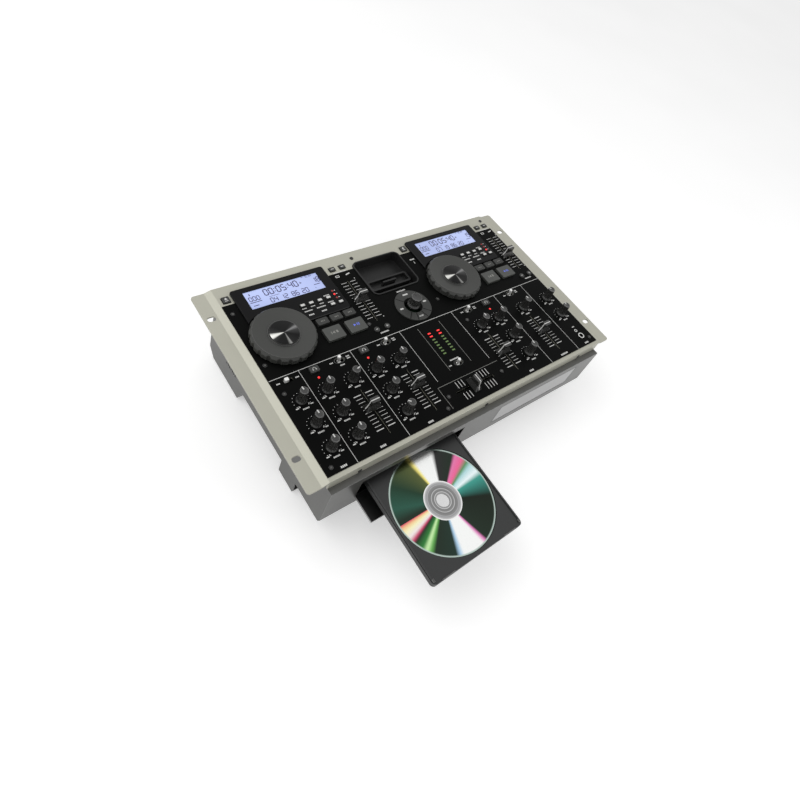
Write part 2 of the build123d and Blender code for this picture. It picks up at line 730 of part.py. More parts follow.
with BuildPart() as mic_slider:
    with BuildSketch(Plane.XY.offset(panel_under - 2.0)):
        with Locations((mic_x - 2.6, switch_y)):
            RectangleRounded(4.6, 4.0, 0.8)
    extrude(amount=plate_z + 4.0 - panel_under + 2.0)
mic_slider.part.label = "switch_mic"
export_step(mic_slider.part, "parts/switch_mic.step")

# ---- keys ------------------------------------------------------------------------------------------------------
key_low = panel_under - key_drop
for name, deck_x in decks.items():
    for kind, x in (("cue", cue_x), ("play", play_x)):
        with BuildPart() as big_key:
            with BuildSketch(Plane.XY.offset(key_low)):
                with Locations((deck_x + x, big_key_y)):
                    RectangleRounded(big_key_w, big_key_d, 1.2)
            extrude(amount=plate_z + big_key_h - key_low)
            fillet(big_key.faces().sort_by(Axis.Z)[-1].edges(), 0.9)
        big_key.part.label = "key_" + kind + "_" + name
        export_step(big_key.part, "parts/key_" + kind + "_" + name + ".step")

    # one rubber mat carries the small keys beside the display and above the slider
    with BuildPart() as key_mat:
        with BuildSketch(Plane.XY.offset(key_low - mat_t)):
            with Locations((deck_x + mat_x, (mat_y_low + mat_y_high) / 2)):
                Rectangle(mat_w, mat_y_high - mat_y_low)
            with Locations((deck_x + (mat_x - mat_w / 2 - 5.5) / 2, 56.0)):
                Rectangle(mat_x - mat_w / 2 + 5.5 + 1.0, 38.0)
            with Locations((deck_x + (eject_x - eject_w / 2 + mat_x) / 2, mat_y_high - eject_w / 2)):
                Rectangle(mat_x - eject_x + eject_w / 2, eject_w)
            with Locations((deck_x + pitch_x, pitch_y)):
                Rectangle(9.0, pitch_slot + 4.0, mode=Mode.SUBTRACT)
            with Locations((deck_x + play_x, big_key_y)):
                Rectangle(big_key_w + 2.0, big_key_d + 2.0, mode=Mode.SUBTRACT)
        extrude(amount=mat_t)
        with BuildSketch(Plane.XY.offset(key_low)):
            with Locations(*[(deck_x + x, mid_key_y) for x in mid_keys]):
                RectangleRounded(mid_key_w, mid_key_d, 1.0)
        extrude(amount=plate_z + mid_key_h - key_low)
        with BuildSketch(Plane.XY.offset(key_low)):
            with Locations(*[(deck_x + x, y) for x, y in small_keys]):
                RectangleRounded(small_key_w, small_key_d, 0.8)
        extrude(amount=plate_z + display_h + small_key_h - key_low)
        with BuildSketch(Plane.XY.offset(key_low)):
            with Locations(*[(deck_x + x, y) for x, y in bend_keys]):
                Circle(bend_r)
        extrude(amount=plate_z + small_key_h - key_low)
        with BuildSketch(Plane.XY.offset(key_low)):
            with Locations(*[(deck_x + x, y) for x, y in band_keys]):
                RectangleRounded(band_key_w, band_key_d, 1.0)
            with Locations((deck_x + eject_x, band_keys[0][1])):
                RectangleRounded(eject_w, eject_w, 1.0)
        extrude(amount=plateau_z + small_key_h - key_low)
    key_mat.part.label = "keys_small_" + name
    export_step(key_mat.part, "parts/keys_small_" + name + ".step")

with BuildPart() as monitor_mat:
    with BuildSketch(Plane.XY.offset(key_low)):
        with Locations(*monitor_keys):
            RectangleRounded(monitor_key_w, monitor_key_d, 1.0)
    extrude(amount=plate_z + 2.4 - key_low)
    with BuildSketch(Plane.XY.offset(key_low)):
        with Locations(((monitor_keys[0][0] + monitor_keys[2][0]) / 2, switch_y)):
            Rectangle(monitor_keys[2][0] - monitor_keys[0][0] + monitor_key_w, 4.0)
    extrude(amount=-1.2)
monitor_mat.part.label = "keys_monitor"
export_step(monitor_mat.part, "parts/keys_monitor.step")

with BuildPart() as browse_ring:
    with BuildSketch(Plane.XY.offset(key_low)):
        with Locations((ring_x, ring_y)):
            Circle(ring_r_out)
            Circle(ring_r_in, mode=Mode.SUBTRACT)
    extrude(amount=plate_z + ring_h - key_low)
browse_ring.part.label = "browse_ring"
export_step(browse_ring.part, "parts/browse_ring.step")

# ---- dock well and its adapter ------------------------------------------------------------------------------------
dock_y = (dock_y_low + dock_y_high) / 2
dock_len = dock_y_high - dock_y_low
with BuildPart() as dock_well:
    with BuildSketch(Plane.XY.offset(plate_z - dock_depth)):
        with Locations((dock_x, dock_y)):
            RectangleRounded(dock_w - 0.4, dock_len - 0.4, 8.8)
    extrude(amount=dock_depth + dock_rim)
    with BuildSketch(Plane.XY.offset(plate_z - dock_depth + dock_wall)):
        with Locations((dock_x, dock_y)):
            RectangleRounded(dock_w - 0.4 - 2 * dock_wall, dock_len - 0.4 - 2 * dock_wall, 8.8 - dock_wall)
    extrude(amount=dock_depth + dock_rim, mode=Mode.SUBTRACT)
dock_well.part.label = "dock_well"
export_step(dock_well.part, "parts/dock_well.step")

adapter_y = dock_y_low + 20.0
with BuildPart() as dock_adapter:
    with BuildSketch(Plane.XY.offset(plate_z - dock_depth + dock_wall)):
        with Locations((dock_x, adapter_y)):
            RectangleRounded(64.0, 17.0, 3.0)
    extrude(amount=9.0)
    with BuildSketch(Plane.XY.offset(plate_z - dock_depth + dock_wall + 9.0)):
        with Locations((dock_x, adapter_y)):
            RectangleRounded(59.0, 12.0, 2.0)
    extrude(amount=-6.0, mode=Mode.SUBTRACT)
    with BuildSketch(Plane.XY.offset(plate_z - dock_depth + dock_wall + 3.0)):
        with Locations((dock_x, adapter_y)):
            Rectangle(21.0, 2.2)
    extrude(amount=8.0)
dock_adapter.part.label = "dock_adapter"
export_step(dock_adapter.part, "parts/dock_adapter.step")

# ---- sockets: headphone jack, phono sockets and mains inlet ----------------------------------------------------------
with BuildPart() as sockets:
    with BuildSketch(Plane.XY.offset(panel_under - 12.0)):
        with Locations((phones_x, jack_y)):
            Circle(jack_r - 0.1)
            Circle(jack_bore_r, mode=Mode.SUBTRACT)
    extrude(amount=plate_z + 1.0 - panel_under + 12.0)
    with BuildSketch(Plane.XZ.offset(-housing_back + 10.0)):
        with Locations(*[(-150.0 + 22.0 * i, z) for i in range(8) for z in (-40.0, -58.0)]):
            Circle(4.2)
            Circle(2.4, mode=Mode.SUBTRACT)
    extrude(amount=-18.0)
    with BuildSketch(Plane.XZ.offset(-housing_back + 16.0)):
        with Locations((150.0, -52.0)):
            Rectangle(27.2, 19.6)
            Rectangle(22.0, 14.0, mode=Mode.SUBTRACT)
    extrude(amount=-16.8)
sockets.part.label = "sockets"
export_step(sockets.part, "parts/sockets.step")
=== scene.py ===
# Twin disc player and mixer console: finishes, silk-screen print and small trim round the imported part.
# Lengths are given in millimetres and turned into metres where a mesh is made.
import json
import math

import bmesh
import bpy
from mathutils import Matrix, Vector


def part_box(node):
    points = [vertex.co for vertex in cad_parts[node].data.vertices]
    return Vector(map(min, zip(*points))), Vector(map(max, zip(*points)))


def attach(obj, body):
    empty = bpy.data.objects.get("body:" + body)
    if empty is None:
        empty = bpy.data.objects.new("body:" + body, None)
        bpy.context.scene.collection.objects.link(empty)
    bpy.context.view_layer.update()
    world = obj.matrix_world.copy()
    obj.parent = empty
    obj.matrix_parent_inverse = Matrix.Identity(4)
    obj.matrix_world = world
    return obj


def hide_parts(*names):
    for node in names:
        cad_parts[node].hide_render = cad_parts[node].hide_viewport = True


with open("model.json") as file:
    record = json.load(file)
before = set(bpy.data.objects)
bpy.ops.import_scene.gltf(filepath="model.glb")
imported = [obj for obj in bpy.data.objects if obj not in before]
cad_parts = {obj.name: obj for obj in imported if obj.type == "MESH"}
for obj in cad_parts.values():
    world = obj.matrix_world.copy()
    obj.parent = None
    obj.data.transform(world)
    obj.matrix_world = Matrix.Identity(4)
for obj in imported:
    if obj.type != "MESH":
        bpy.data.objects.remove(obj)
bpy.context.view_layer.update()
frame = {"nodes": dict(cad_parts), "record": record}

MM = 0.001
PRINT_LIFT = 0.06   # how far print lies above the black plate and the display surrounds
MARK_LIFT = 0.05    # how far marks lie above the keys and the display glass
QUARTER_TURN = math.pi / 2

nodes = frame["nodes"]
node_slot = {row["node"]: row["material_slot"] for row in frame["record"]["subparts"]}
plate_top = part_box("overlay_plate")[1].z / MM
frame_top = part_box("display_frames")[1].z / MM
ink = plate_top + PRINT_LIFT
glass_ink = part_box("display_panes")[1].z / MM + MARK_LIFT
knob_foot = plate_top + 0.6

# Where the controls stand, as in the part.
deck_centres = {"left": -130.0, "right": 130.0}
rows = [-40.8, -71.4, -102.0]
channel_x = (-131.5, -65.8, 70.0, 151.0)
monitor_x = (-164.8, -98.5, 102.3)
pitch_marks_x = (-57.7, 202.3)
switch_y = -12.8
browse_x, browse_y, browse_mark_radius = 1.8, 21.5, 18.6


# ---------------------------------------------------------------- shop tools
def put_down():
    """Leaves edit mode and lets go of everything."""
    if bpy.context.object and bpy.context.object.mode != "OBJECT":
        bpy.ops.object.mode_set(mode="OBJECT")
    bpy.ops.object.select_all(action="DESELECT")


def take(piece):
    """Takes one piece in hand and nothing else."""
    put_down()
    piece.select_set(True)
    bpy.context.view_layer.objects.active = piece


def settle(piece):
    """Moves the place, turn and size of a piece into its mesh."""
    take(piece)
    bpy.ops.object.transform_apply(location=True, rotation=True, scale=True)
    return piece


def title(piece, name):
    """Names a piece and its mesh."""
    piece.name = name
    piece.data.name = name


def flat_bar(x, y, z, width, depth, turn=0.0):
    """A flat printed bar."""
    put_down()
    bpy.ops.mesh.primitive_plane_add(size=1, location=(x * MM, y * MM, z * MM),
                                     rotation=(0, 0, math.radians(turn)))
    bar = bpy.context.object
    bar.scale = (width * MM, depth * MM, 1)
    return settle(bar)


def flat_dot(x, y, z, radius, sides=12):
    """A flat printed dot."""
    put_down()
    bpy.ops.mesh.primitive_circle_add(vertices=sides, radius=radius * MM, fill_type="NGON",
                                      location=(x * MM, y * MM, z * MM))
    return settle(bpy.context.object)


def block(x, y, z, width, depth, height):
    """A rectangular block about its centre."""
    put_down()
    bpy.ops.mesh.primitive_cube_add(size=1, location=(x * MM, y * MM, z * MM))
    piece = bpy.context.object
    piece.scale = (width * MM, depth * MM, height * MM)
    return settle(piece)


def rod(x, y, z, radius, length, sides, turn=(0, 0, 0)):
    """A round rod about its centre, upright unless turned."""
    put_down()
    bpy.ops.mesh.primitive_cylinder_add(vertices=sides, radius=radius * MM, depth=length * MM,
                                        location=(x * MM, y * MM, z * MM), rotation=turn)
    return settle(bpy.context.object)


def round_edges(piece, width, segments):
    """Rounds the sharp edges of the piece in hand."""
    bevel = piece.modifiers.new("rounding", "BEVEL")
    bevel.width = width * MM
    bevel.segments = segments
    bpy.ops.object.modifier_apply(modifier=bevel.name)
    return piece


def repeat(piece, count, step_x, step_y):
    """A row of the same mark at an even pitch."""
    take(piece)
    row = piece.modifiers.new("row", "ARRAY")
    row.use_relative_offset = False
    row.use_constant_offset = True
    row.constant_offset_displace = (step_x * MM, step_y * MM, 0)
    row.count = count
    bpy.ops.object.modifier_apply(modifier="row")
    return piece


def word(x, y, z, count, height=1.7, pitch=1.55):
    """A short run of small blocks in place of a printed word."""
    start = x - (count - 1) * pitch / 2
    return repeat(flat_bar(start, y, z, pitch * 0.74, height), count, pitch, 0)


def on_ring(x, y, radius, degrees):
    """A place on a circle, counted clockwise from the back."""
    return x + radius * math.sin(math.radians(degrees)), y + radius * math.cos(math.radians(degrees))


def copy_to(piece, x, y, z, turn=0.0):
    """A copy with its own mesh, with its place in the mesh."""
    twin = piece.copy()
    twin.data = piece.data.copy()
    bpy.context.scene.collection.objects.link(twin)
    twin.data.transform(Matrix.Translation((x * MM, y * MM, z * MM)) @ Matrix.Rotation(math.radians(turn), 4, "Z"))
    return twin


def assemble(pieces, name, finish=None):
    """Joins loose marks into one named piece, in one finish or in the finishes they have."""
    put_down()
    for piece in pieces:
        piece.select_set(True)
    bpy.context.view_layer.objects.active = pieces[0]
    if len(pieces) > 1:
        bpy.ops.object.join()
    whole = bpy.context.view_layer.objects.active
    title(whole, name)
    if finish:
        whole.data.materials.clear()
        whole.data.materials.append(finish)
    return whole


def fit(piece, body):
    """Fixes a finished piece to the body it travels with."""
    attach(piece, body)


def scrap(piece):
    """Takes away a pattern piece once its copies are made."""
    bpy.data.objects.remove(piece)


def outward(piece):
    """Merges doubles and turns every face outwards."""
    take(piece)
    bpy.ops.object.mode_set(mode="EDIT")
    bpy.ops.mesh.select_all(action="SELECT")
    bpy.ops.mesh.remove_doubles(threshold=0.01 * MM)
    bpy.ops.mesh.normals_make_consistent(inside=False)
    bpy.ops.object.mode_set(mode="OBJECT")


def pick(piece, wanted):
    """In edit mode, selects the vertices for which wanted(place in mm) is true."""
    bpy.ops.mesh.select_all(action="DESELECT")
    bpy.ops.mesh.select_mode(type="VERT")
    shell = bmesh.from_edit_mesh(piece.data)
    for vertex in shell.verts:
        vertex.select = bool(wanted(vertex.co / MM))
    shell.select_flush(True)
    bmesh.update_edit_mesh(piece.data)


def raise_top(height, shrink):
    """Extrudes the selected face upwards and narrows it."""
    bpy.ops.mesh.extrude_region_move(TRANSFORM_OT_translate={"value": (0, 0, height * MM)})
    bpy.ops.transform.resize(value=(shrink, shrink, 1))


def smooth(piece, angle=35.0):
    """Shades round faces smoothly and keeps the sharp edges."""
    take(piece)
    bpy.ops.object.shade_smooth_by_angle(angle=math.radians(angle))


def top_of(node, x, y, reach):
    """Height of the highest corner of a CAD node near a place, in mm."""
    found = [v.co.z / MM for v in nodes[node].data.vertices
             if abs(v.co.x / MM - x) < reach and abs(v.co.y / MM - y) < reach]
    return max(found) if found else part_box(node)[1].z / MM


# ---------------------------------------------------------------- shader tools
def set_values(node, **values):
    """Sets input values by label, with _ for each space."""
    for label, value in values.items():
        node.inputs[label.replace("_", " ")].default_value = value
    return node


def feed(tree, socket, value):
    """Gives an input its value: a link from another socket, or a fixed value."""
    if isinstance(value, bpy.types.NodeSocket):
        tree.links.new(value, socket)
    else:
        socket.default_value = value


def arithmetic(tree, kind, operation, values):
    """One arithmetic node fed with values in order."""
    node = tree.nodes.new(kind)
    node.operation = operation
    for socket, value in zip(node.inputs, values):
        feed(tree, socket, value)
    return node


def maths(tree, operation, *values):
    """The result of one step of arithmetic on numbers."""
    return arithmetic(tree, "ShaderNodeMath", operation, values).outputs[0]


def vectors(tree, operation, *values):
    """One step of arithmetic on vectors; gives the node."""
    return arithmetic(tree, "ShaderNodeVectorMath", operation, values)


def blend(tree, factor, under, over):
    """Mixes one colour over another."""
    node = tree.nodes.new("ShaderNodeMix")
    node.data_type = "RGBA"
    for label, value in (("Factor", factor), ("A", under), ("B", over)):
        feed(tree, node.inputs[label], value)
    return node.outputs["Result"]


def noise(tree, **values):
    """Noise in the object's own space; gives the node."""
    place = tree.nodes.new("ShaderNodeTexCoord")
    node = set_values(tree.nodes.new("ShaderNodeTexNoise"), **values)
    tree.links.new(place.outputs["Object"], node.inputs["Vector"])
    return node


def spread_over(tree, value, **limits):
    """Maps a value from one range to another."""
    node = set_values(tree.nodes.new("ShaderNodeMapRange"), **limits)
    tree.links.new(value, node.inputs["Value"])
    return node.outputs[0]


def ramp(tree, factor, stops):
    """The colour of a ramp with the given stops; a bare number is a grey."""
    node = tree.nodes.new("ShaderNodeValToRGB")
    tree.links.new(factor, node.inputs["Fac"])
    band = node.color_ramp
    while len(band.elements) > 1:
        band.elements.remove(band.elements[-1])
    for index, (at, tone) in enumerate(stops):
        stop = band.elements.new(at) if index else band.elements[0]
        stop.position = at
        stop.color = (*(tone if isinstance(tone, tuple) else (tone,) * 3), 1)
    return node.outputs["Color"]


def start_group(name, inputs, outputs):
    """An empty shader node group with named sockets."""
    group = bpy.data.node_groups.new(name, "ShaderNodeTree")
    for label, kind, value in inputs:
        socket = group.interface.new_socket(name=label, in_out="INPUT", socket_type=kind)
        socket.default_value = value
    for label, kind in outputs:
        group.interface.new_socket(name=label, in_out="OUTPUT", socket_type=kind)
    return group, group.nodes.new("NodeGroupInput").outputs, group.nodes.new("NodeGroupOutput").inputs


def paint_grain_group():
    """Fine speckle and slow cloudiness of a sprayed or moulded surface."""
    group, given, made = start_group("paint_grain", [
        ("Colour", "NodeSocketColor", (0.5, 0.5, 0.5, 1)),
        ("Speckle", "NodeSocketFloat", 0.05),
        ("Grain Scale", "NodeSocketFloat", 1400.0),
        ("Roughness", "NodeSocketFloat", 0.4),
        ("Spread", "NodeSocketFloat", 0.05),
    ], [("Colour", "NodeSocketColor"), ("Roughness", "NodeSocketFloat"), ("Height", "NodeSocketFloat")])
    link = group.links.new
    fine = noise(group, Detail=3)
    link(given["Grain Scale"], fine.inputs["Scale"])
    slow = noise(group, Scale=22, Detail=5)
    centred = maths(group, "SUBTRACT", maths(group, "ADD", fine.outputs["Fac"], slow.outputs["Fac"]), 1.0)
    tint = vectors(group, "SCALE", given["Colour"])
    link(maths(group, "MULTIPLY_ADD", centred, given["Speckle"], 1.0), tint.inputs["Scale"])
    link(tint.outputs[0], made["Colour"])
    link(maths(group, "MULTIPLY_ADD", centred, given["Spread"], given["Roughness"]), made["Roughness"])
    link(fine.outputs["Fac"], made["Height"])
    return group


def edge_catch_group():
    """Rounds the look of a sharp edge and lays the rubbed colour along it."""
    group, given, made = start_group("edge_catch", [
        ("Colour", "NodeSocketColor", (0.5, 0.5, 0.5, 1)),
        ("Rubbed", "NodeSocketColor", (0.7, 0.7, 0.7, 1)),
        ("Radius", "NodeSocketFloat", 0.0005),
        ("Amount", "NodeSocketFloat", 0.4),
    ], [("Colour", "NodeSocketColor"), ("Normal", "NodeSocketVector")])
    link = group.links.new
    rounded = group.nodes.new("ShaderNodeBevel")
    rounded.samples = 4
    link(given["Radius"], rounded.inputs["Radius"])
    plain = group.nodes.new("ShaderNodeNewGeometry")
    facing = vectors(group, "DOT_PRODUCT", rounded.outputs["Normal"], plain.outputs["Normal"])
    edge = spread_over(group, facing.outputs["Value"], From_Min=0.995, From_Max=0.90)
    share = maths(group, "MULTIPLY", edge, given["Amount"])
    link(blend(group, share, given["Colour"], given["Rubbed"]), made["Colour"])
    link(rounded.outputs["Normal"], made["Normal"])
    return group


def turn_wedge_group():
    """Angle round a centre and distance from it, for spun metal and discs."""
    group, given, made = start_group("turn_wedge", [
        ("Centre", "NodeSocketVector", (0, 0, 0)),
    ], [("Angle", "NodeSocketFloat"), ("Distance", "NodeSocketFloat")])
    link = group.links.new
    place = group.nodes.new("ShaderNodeTexCoord")
    parts = group.nodes.new("ShaderNodeSeparateXYZ")
    link(vectors(group, "SUBTRACT", place.outputs["Object"], given["Centre"]).outputs[0], parts.inputs[0])
    flat = group.nodes.new("ShaderNodeCombineXYZ")
    for axis in "XY":
        link(parts.outputs[axis], flat.inputs[axis])
    turn = maths(group, "ARCTAN2", parts.outputs["Y"], parts.outputs["X"])
    link(maths(group, "MULTIPLY_ADD", turn, 1 / (2 * math.pi), 0.5), made["Angle"])
    link(vectors(group, "LENGTH", flat.outputs[0]).outputs["Value"], made["Distance"])
    return group


paint_grain = paint_grain_group()
edge_catch = edge_catch_group()
turn_wedge = turn_wedge_group()


# ---------------------------------------------------------------- finishes
def place_group(tree, group, **values):
    """Puts a shader group into a material with its own values."""
    node = tree.nodes.new("ShaderNodeGroup")
    node.node_tree = group
    return set_values(node, **values)


def start_material(name):
    """A new material with its node tree and its shader."""
    material = bpy.data.materials.new(name)
    material.use_nodes = True
    return material, material.node_tree, material.node_tree.nodes["Principled BSDF"]


def finish(name, colour, roughness, rubbed=None, metallic=0.0, speckle=0.08, grain=1400.0, spread=0.08,
           bump=0.0, edge=0.0004, rub=0.35, gloss=0.5, coat=0.0, coat_rough=0.1):
    """A paint, plastic, rubber or metal with grain and rounded, slightly rubbed edges."""
    material, tree, shader = start_material(name)
    link = tree.links.new
    lighter = rubbed or [min(1, c * 1.9 + 0.02) for c in colour]
    base = place_group(tree, paint_grain, Colour=(*colour, 1), Speckle=speckle, Grain_Scale=grain,
                       Roughness=roughness, Spread=spread)
    worn = place_group(tree, edge_catch, Rubbed=(*lighter, 1), Radius=edge, Amount=rub)
    link(base.outputs["Colour"], worn.inputs["Colour"])
    link(worn.outputs["Colour"], shader.inputs["Base Color"])
    link(base.outputs["Roughness"], shader.inputs["Roughness"])
    normal = worn.outputs["Normal"]
    if bump:
        relief = set_values(tree.nodes.new("ShaderNodeBump"), Strength=bump, Distance=0.1 * MM)
        link(base.outputs["Height"], relief.inputs["Height"])
        link(normal, relief.inputs["Normal"])
        normal = relief.outputs["Normal"]
    link(normal, shader.inputs["Normal"])
    set_values(shader, Metallic=metallic, Specular_IOR_Level=gloss, Coat_Weight=coat, Coat_Roughness=coat_rough)
    return material


def lit(name, colour, glow, strength):
    """A coloured lens with a lamp behind it."""
    material = finish(name, colour, 0.25, speckle=0.15, grain=900, rub=0.2, gloss=0.5)
    tree = material.node_tree
    shader = set_values(tree.nodes["Principled BSDF"], Emission_Strength=strength)
    shade = place_group(tree, paint_grain, Colour=(*glow, 1), Speckle=0.25, Grain_Scale=500.0)
    tree.links.new(shade.outputs["Colour"], shader.inputs["Emission Color"])
    return material


def disc_finish(centre, radius):
    """Silvered disc: a painted reflection of dark, white and rainbow sectors by angle outside, a grey hub with fine
    rings inside.
    """
    material, tree, shader = start_material("silvered_disc")
    turn = place_group(tree, turn_wedge, Centre=centre)
    dark, white = (0.020, 0.032, 0.022), (0.93, 0.94, 0.93)
    # Painted reflection: the white and rainbow sectors are laid into the base colour by angle round the centre.
    painted_reflection_wedges = ramp(tree, turn.outputs["Angle"], [
        (0.000, (0.75, 0.10, 0.16)), (0.010, (0.92, 0.60, 0.30)), (0.022, (0.93, 0.90, 0.55)),
        (0.040, (0.88, 0.80, 0.80)), (0.052, (0.60, 0.06, 0.16)), (0.060, dark), (0.084, (0.04, 0.22, 0.05)),
        (0.096, (0.62, 0.90, 0.45)), (0.108, (0.14, 0.42, 0.10)), (0.120, dark), (0.184, (0.02, 0.04, 0.03)),
        (0.196, (0.42, 0.62, 0.80)), (0.208, white), (0.276, white), (0.288, (0.80, 0.25, 0.55)), (0.296, dark),
        (0.440, (0.014, 0.020, 0.014)), (0.505, (0.06, 0.34, 0.28)), (0.522, (0.85, 0.95, 0.97)),
        (0.548, (0.45, 0.70, 0.72)), (0.562, (0.10, 0.30, 0.12)), (0.580, (0.85, 0.14, 0.32)),
        (0.602, (0.78, 0.20, 0.42)), (0.612, dark), (0.672, 0.03), (0.686, white), (0.754, white),
        (0.768, (0.92, 0.80, 0.22)), (0.782, (0.10, 0.12, 0.04)), (0.880, (0.02, 0.05, 0.03)),
        (0.950, (0.03, 0.10, 0.07)), (0.988, dark)])
    reach = maths(tree, "MULTIPLY", turn.outputs["Distance"], 1 / radius)
    hub = ramp(tree, reach, [
        (0.00, 0.30), (0.150, 0.30), (0.156, 0.72), (0.168, 0.20), (0.210, 0.26), (0.218, 0.62), (0.230, 0.20),
        (0.285, 0.27), (0.292, (0.50, 0.50, 0.51)), (0.300, (0.30, 0.30, 0.31)), (0.340, 0.50), (0.356, 0.90)])
    in_hub = maths(tree, "LESS_THAN", reach, 0.366)
    on_rim = spread_over(tree, reach, From_Min=0.965, From_Max=0.985)
    face = blend(tree, on_rim, blend(tree, in_hub, painted_reflection_wedges, hub), (0.45, 0.55, 0.50, 1))
    tree.links.new(face, shader.inputs["Base Color"])
    set_values(shader, Metallic=0.85, Roughness=0.20, Specular_IOR_Level=0.2, Coat_Weight=0.10, Coat_Roughness=0.05)
    return material


def spun_metal_painted_reflection(name, centre):
    """Dark metal disc with a painted reflection in bright bow-tie sectors by angle, and the fine grooves that
    spinning leaves.
    """
    material, tree, shader = start_material(name)
    turn = place_group(tree, turn_wedge, Centre=centre)
    # Painted reflection: bright bow-tie sectors laid into the base colour by angle; they turn with the cap.
    bow_tie_painted_reflection = ramp(tree, maths(tree, "FRACT", turn.outputs["Angle"]), [
        (0.00, (0.90, 0.90, 0.86)), (0.028, (0.70, 0.70, 0.66)), (0.045, 0.03), (0.10, 0.008), (0.215, 0.010),
        (0.238, (0.22, 0.22, 0.21)), (0.252, (0.34, 0.34, 0.33)), (0.268, 0.02), (0.40, 0.006), (0.49, 0.05),
        (0.53, 0.26), (0.56, 0.03), (0.60, 0.008), (0.86, 0.008), (0.955, 0.03), (0.985, (0.80, 0.80, 0.76))])
    wave = maths(tree, "SINE", maths(tree, "MULTIPLY", turn.outputs["Distance"], 9000))
    relief = set_values(tree.nodes.new("ShaderNodeBump"), Strength=0.08, Distance=0.05 * MM)
    tree.links.new(wave, relief.inputs["Height"])
    tree.links.new(relief.outputs["Normal"], shader.inputs["Normal"])
    tree.links.new(bow_tie_painted_reflection, shader.inputs["Base Color"])
    set_values(shader, Metallic=0.35, Roughness=0.34, Specular_IOR_Level=0.15)
    return material


def backlit_glass():
    """Pale blue display glass with a slightly uneven backlight."""
    material, tree, shader = start_material("display_glass")
    cloud = noise(tree, Scale=14, Detail=1)
    glow = ramp(tree, cloud.outputs["Fac"], [(0.25, (0.33, 0.39, 0.66)), (0.75, (0.42, 0.49, 0.78))])
    tree.links.new(glow, shader.inputs["Emission Color"])
    tree.links.new(glow, shader.inputs["Base Color"])
    set_values(shader, Emission_Strength=0.42, Roughness=0.18, Coat_Weight=0.3)
    return material


def two_sided_door(name, outside, inside, face):
    """Door leaf: painted outside, black moulding inside. face is the direction the inside looks in."""
    material = finish(name, outside, 0.36, metallic=0.35, speckle=0.04, rub=0.25)
    tree = material.node_tree
    paint = tree.nodes["Principled BSDF"].inputs["Base Color"]
    place = tree.nodes.new("ShaderNodeTexCoord")
    facing = vectors(tree, "DOT_PRODUCT", place.outputs["Normal"], face)
    is_inside = maths(tree, "GREATER_THAN", facing.outputs["Value"], 0.6)
    tree.links.new(blend(tree, is_inside, paint.links[0].from_socket, (*inside, 1)), paint)
    return material


silver_panel = finish("silver_panel", (0.45, 0.445, 0.375), 0.45, metallic=0.34, speckle=0.10, grain=1900,
                      bump=0.10, rubbed=(0.66, 0.66, 0.58), rub=0.5, edge=0.0007)
housing_paint = finish("housing_paint", (0.105, 0.105, 0.100), 0.34, metallic=0.35, speckle=0.06, bump=0.08,
                       rubbed=(0.60, 0.60, 0.60), rub=0.45, edge=0.0006)
black_overlay = finish("black_overlay", (0.0035, 0.0037, 0.0035), 0.45, speckle=0.35, grain=1100, bump=0.04,
                       gloss=0.03, rubbed=(0.05, 0.05, 0.048), rub=0.5)
black_gloss = finish("black_gloss", (0.0035, 0.0035, 0.004), 0.16, speckle=0.2, gloss=0.10, coat=0.04,
                     coat_rough=0.05, rubbed=(0.06, 0.06, 0.06))
black_screw = finish("black_screw", (0.02, 0.02, 0.02), 0.35, metallic=0.5, rubbed=(0.25, 0.25, 0.25), rub=0.6,
                     edge=0.0003)
screw_recess = finish("screw_recess", (0.16, 0.16, 0.15), 0.5, speckle=0.1)
board_green = finish("board_green", (0.006, 0.020, 0.010), 0.5, speckle=0.5, grain=300, gloss=0.2)
black_moulding = finish("black_moulding", (0.012, 0.012, 0.012), 0.45, speckle=0.2, bump=0.15, gloss=0.3,
                        rubbed=(0.07, 0.07, 0.07))
bright_metal = finish("bright_metal", (0.72, 0.72, 0.70), 0.16, metallic=1.0, speckle=0.05, rub=0.2)
toggle_metal = finish("toggle_metal", (0.90, 0.90, 0.88), 0.26, metallic=0.25, speckle=0.04, rub=0.1)
tray_moulding = finish("tray_moulding", (0.020, 0.021, 0.021), 0.34, speckle=0.15, bump=0.12, gloss=0.45,
                       rubbed=(0.20, 0.20, 0.20), rub=0.45)
jog_rubber = finish("jog_rubber", (0.040, 0.041, 0.038), 0.50, speckle=0.12, bump=0.12, gloss=0.4,
                    rubbed=(0.17, 0.17, 0.165), rub=0.5, edge=0.0009)
knob_black = finish("knob_black", (0.022, 0.022, 0.021), 0.24, speckle=0.2, bump=0.06, gloss=0.6,
                    rubbed=(0.16, 0.16, 0.15), rub=0.5, edge=0.0004)
knob_rim = finish("knob_rim", (0.055, 0.055, 0.053), 0.3, speckle=0.1, rubbed=(0.5, 0.5, 0.5), rub=0.6, gloss=0.5)
key_grey = finish("key_grey", (0.060, 0.063, 0.058), 0.45, speckle=0.1, bump=0.08, gloss=0.45,
                  rubbed=(0.24, 0.24, 0.23), rub=0.5, edge=0.0006)
rubber_key = finish("rubber_key", (0.035, 0.036, 0.034), 0.55, speckle=0.15, bump=0.10, gloss=0.35,
                    rubbed=(0.16, 0.16, 0.16), rub=0.5, edge=0.0005)
foot_rubber = finish("foot_rubber", (0.02, 0.02, 0.02), 0.8, speckle=0.25, bump=0.3)
white_ink = finish("white_ink", (0.70, 0.70, 0.68), 0.55, speckle=0.12, grain=800)
faint_ink = finish("faint_ink", (0.27, 0.27, 0.25), 0.55, speckle=0.15, grain=800)
blue_ink = lit("blue_ink", (0.10, 0.14, 0.60), (0.15, 0.20, 0.85), 0.35)
lcd_ink = finish("lcd_ink", (0.030, 0.018, 0.11), 0.4, speckle=0.15, grain=700)
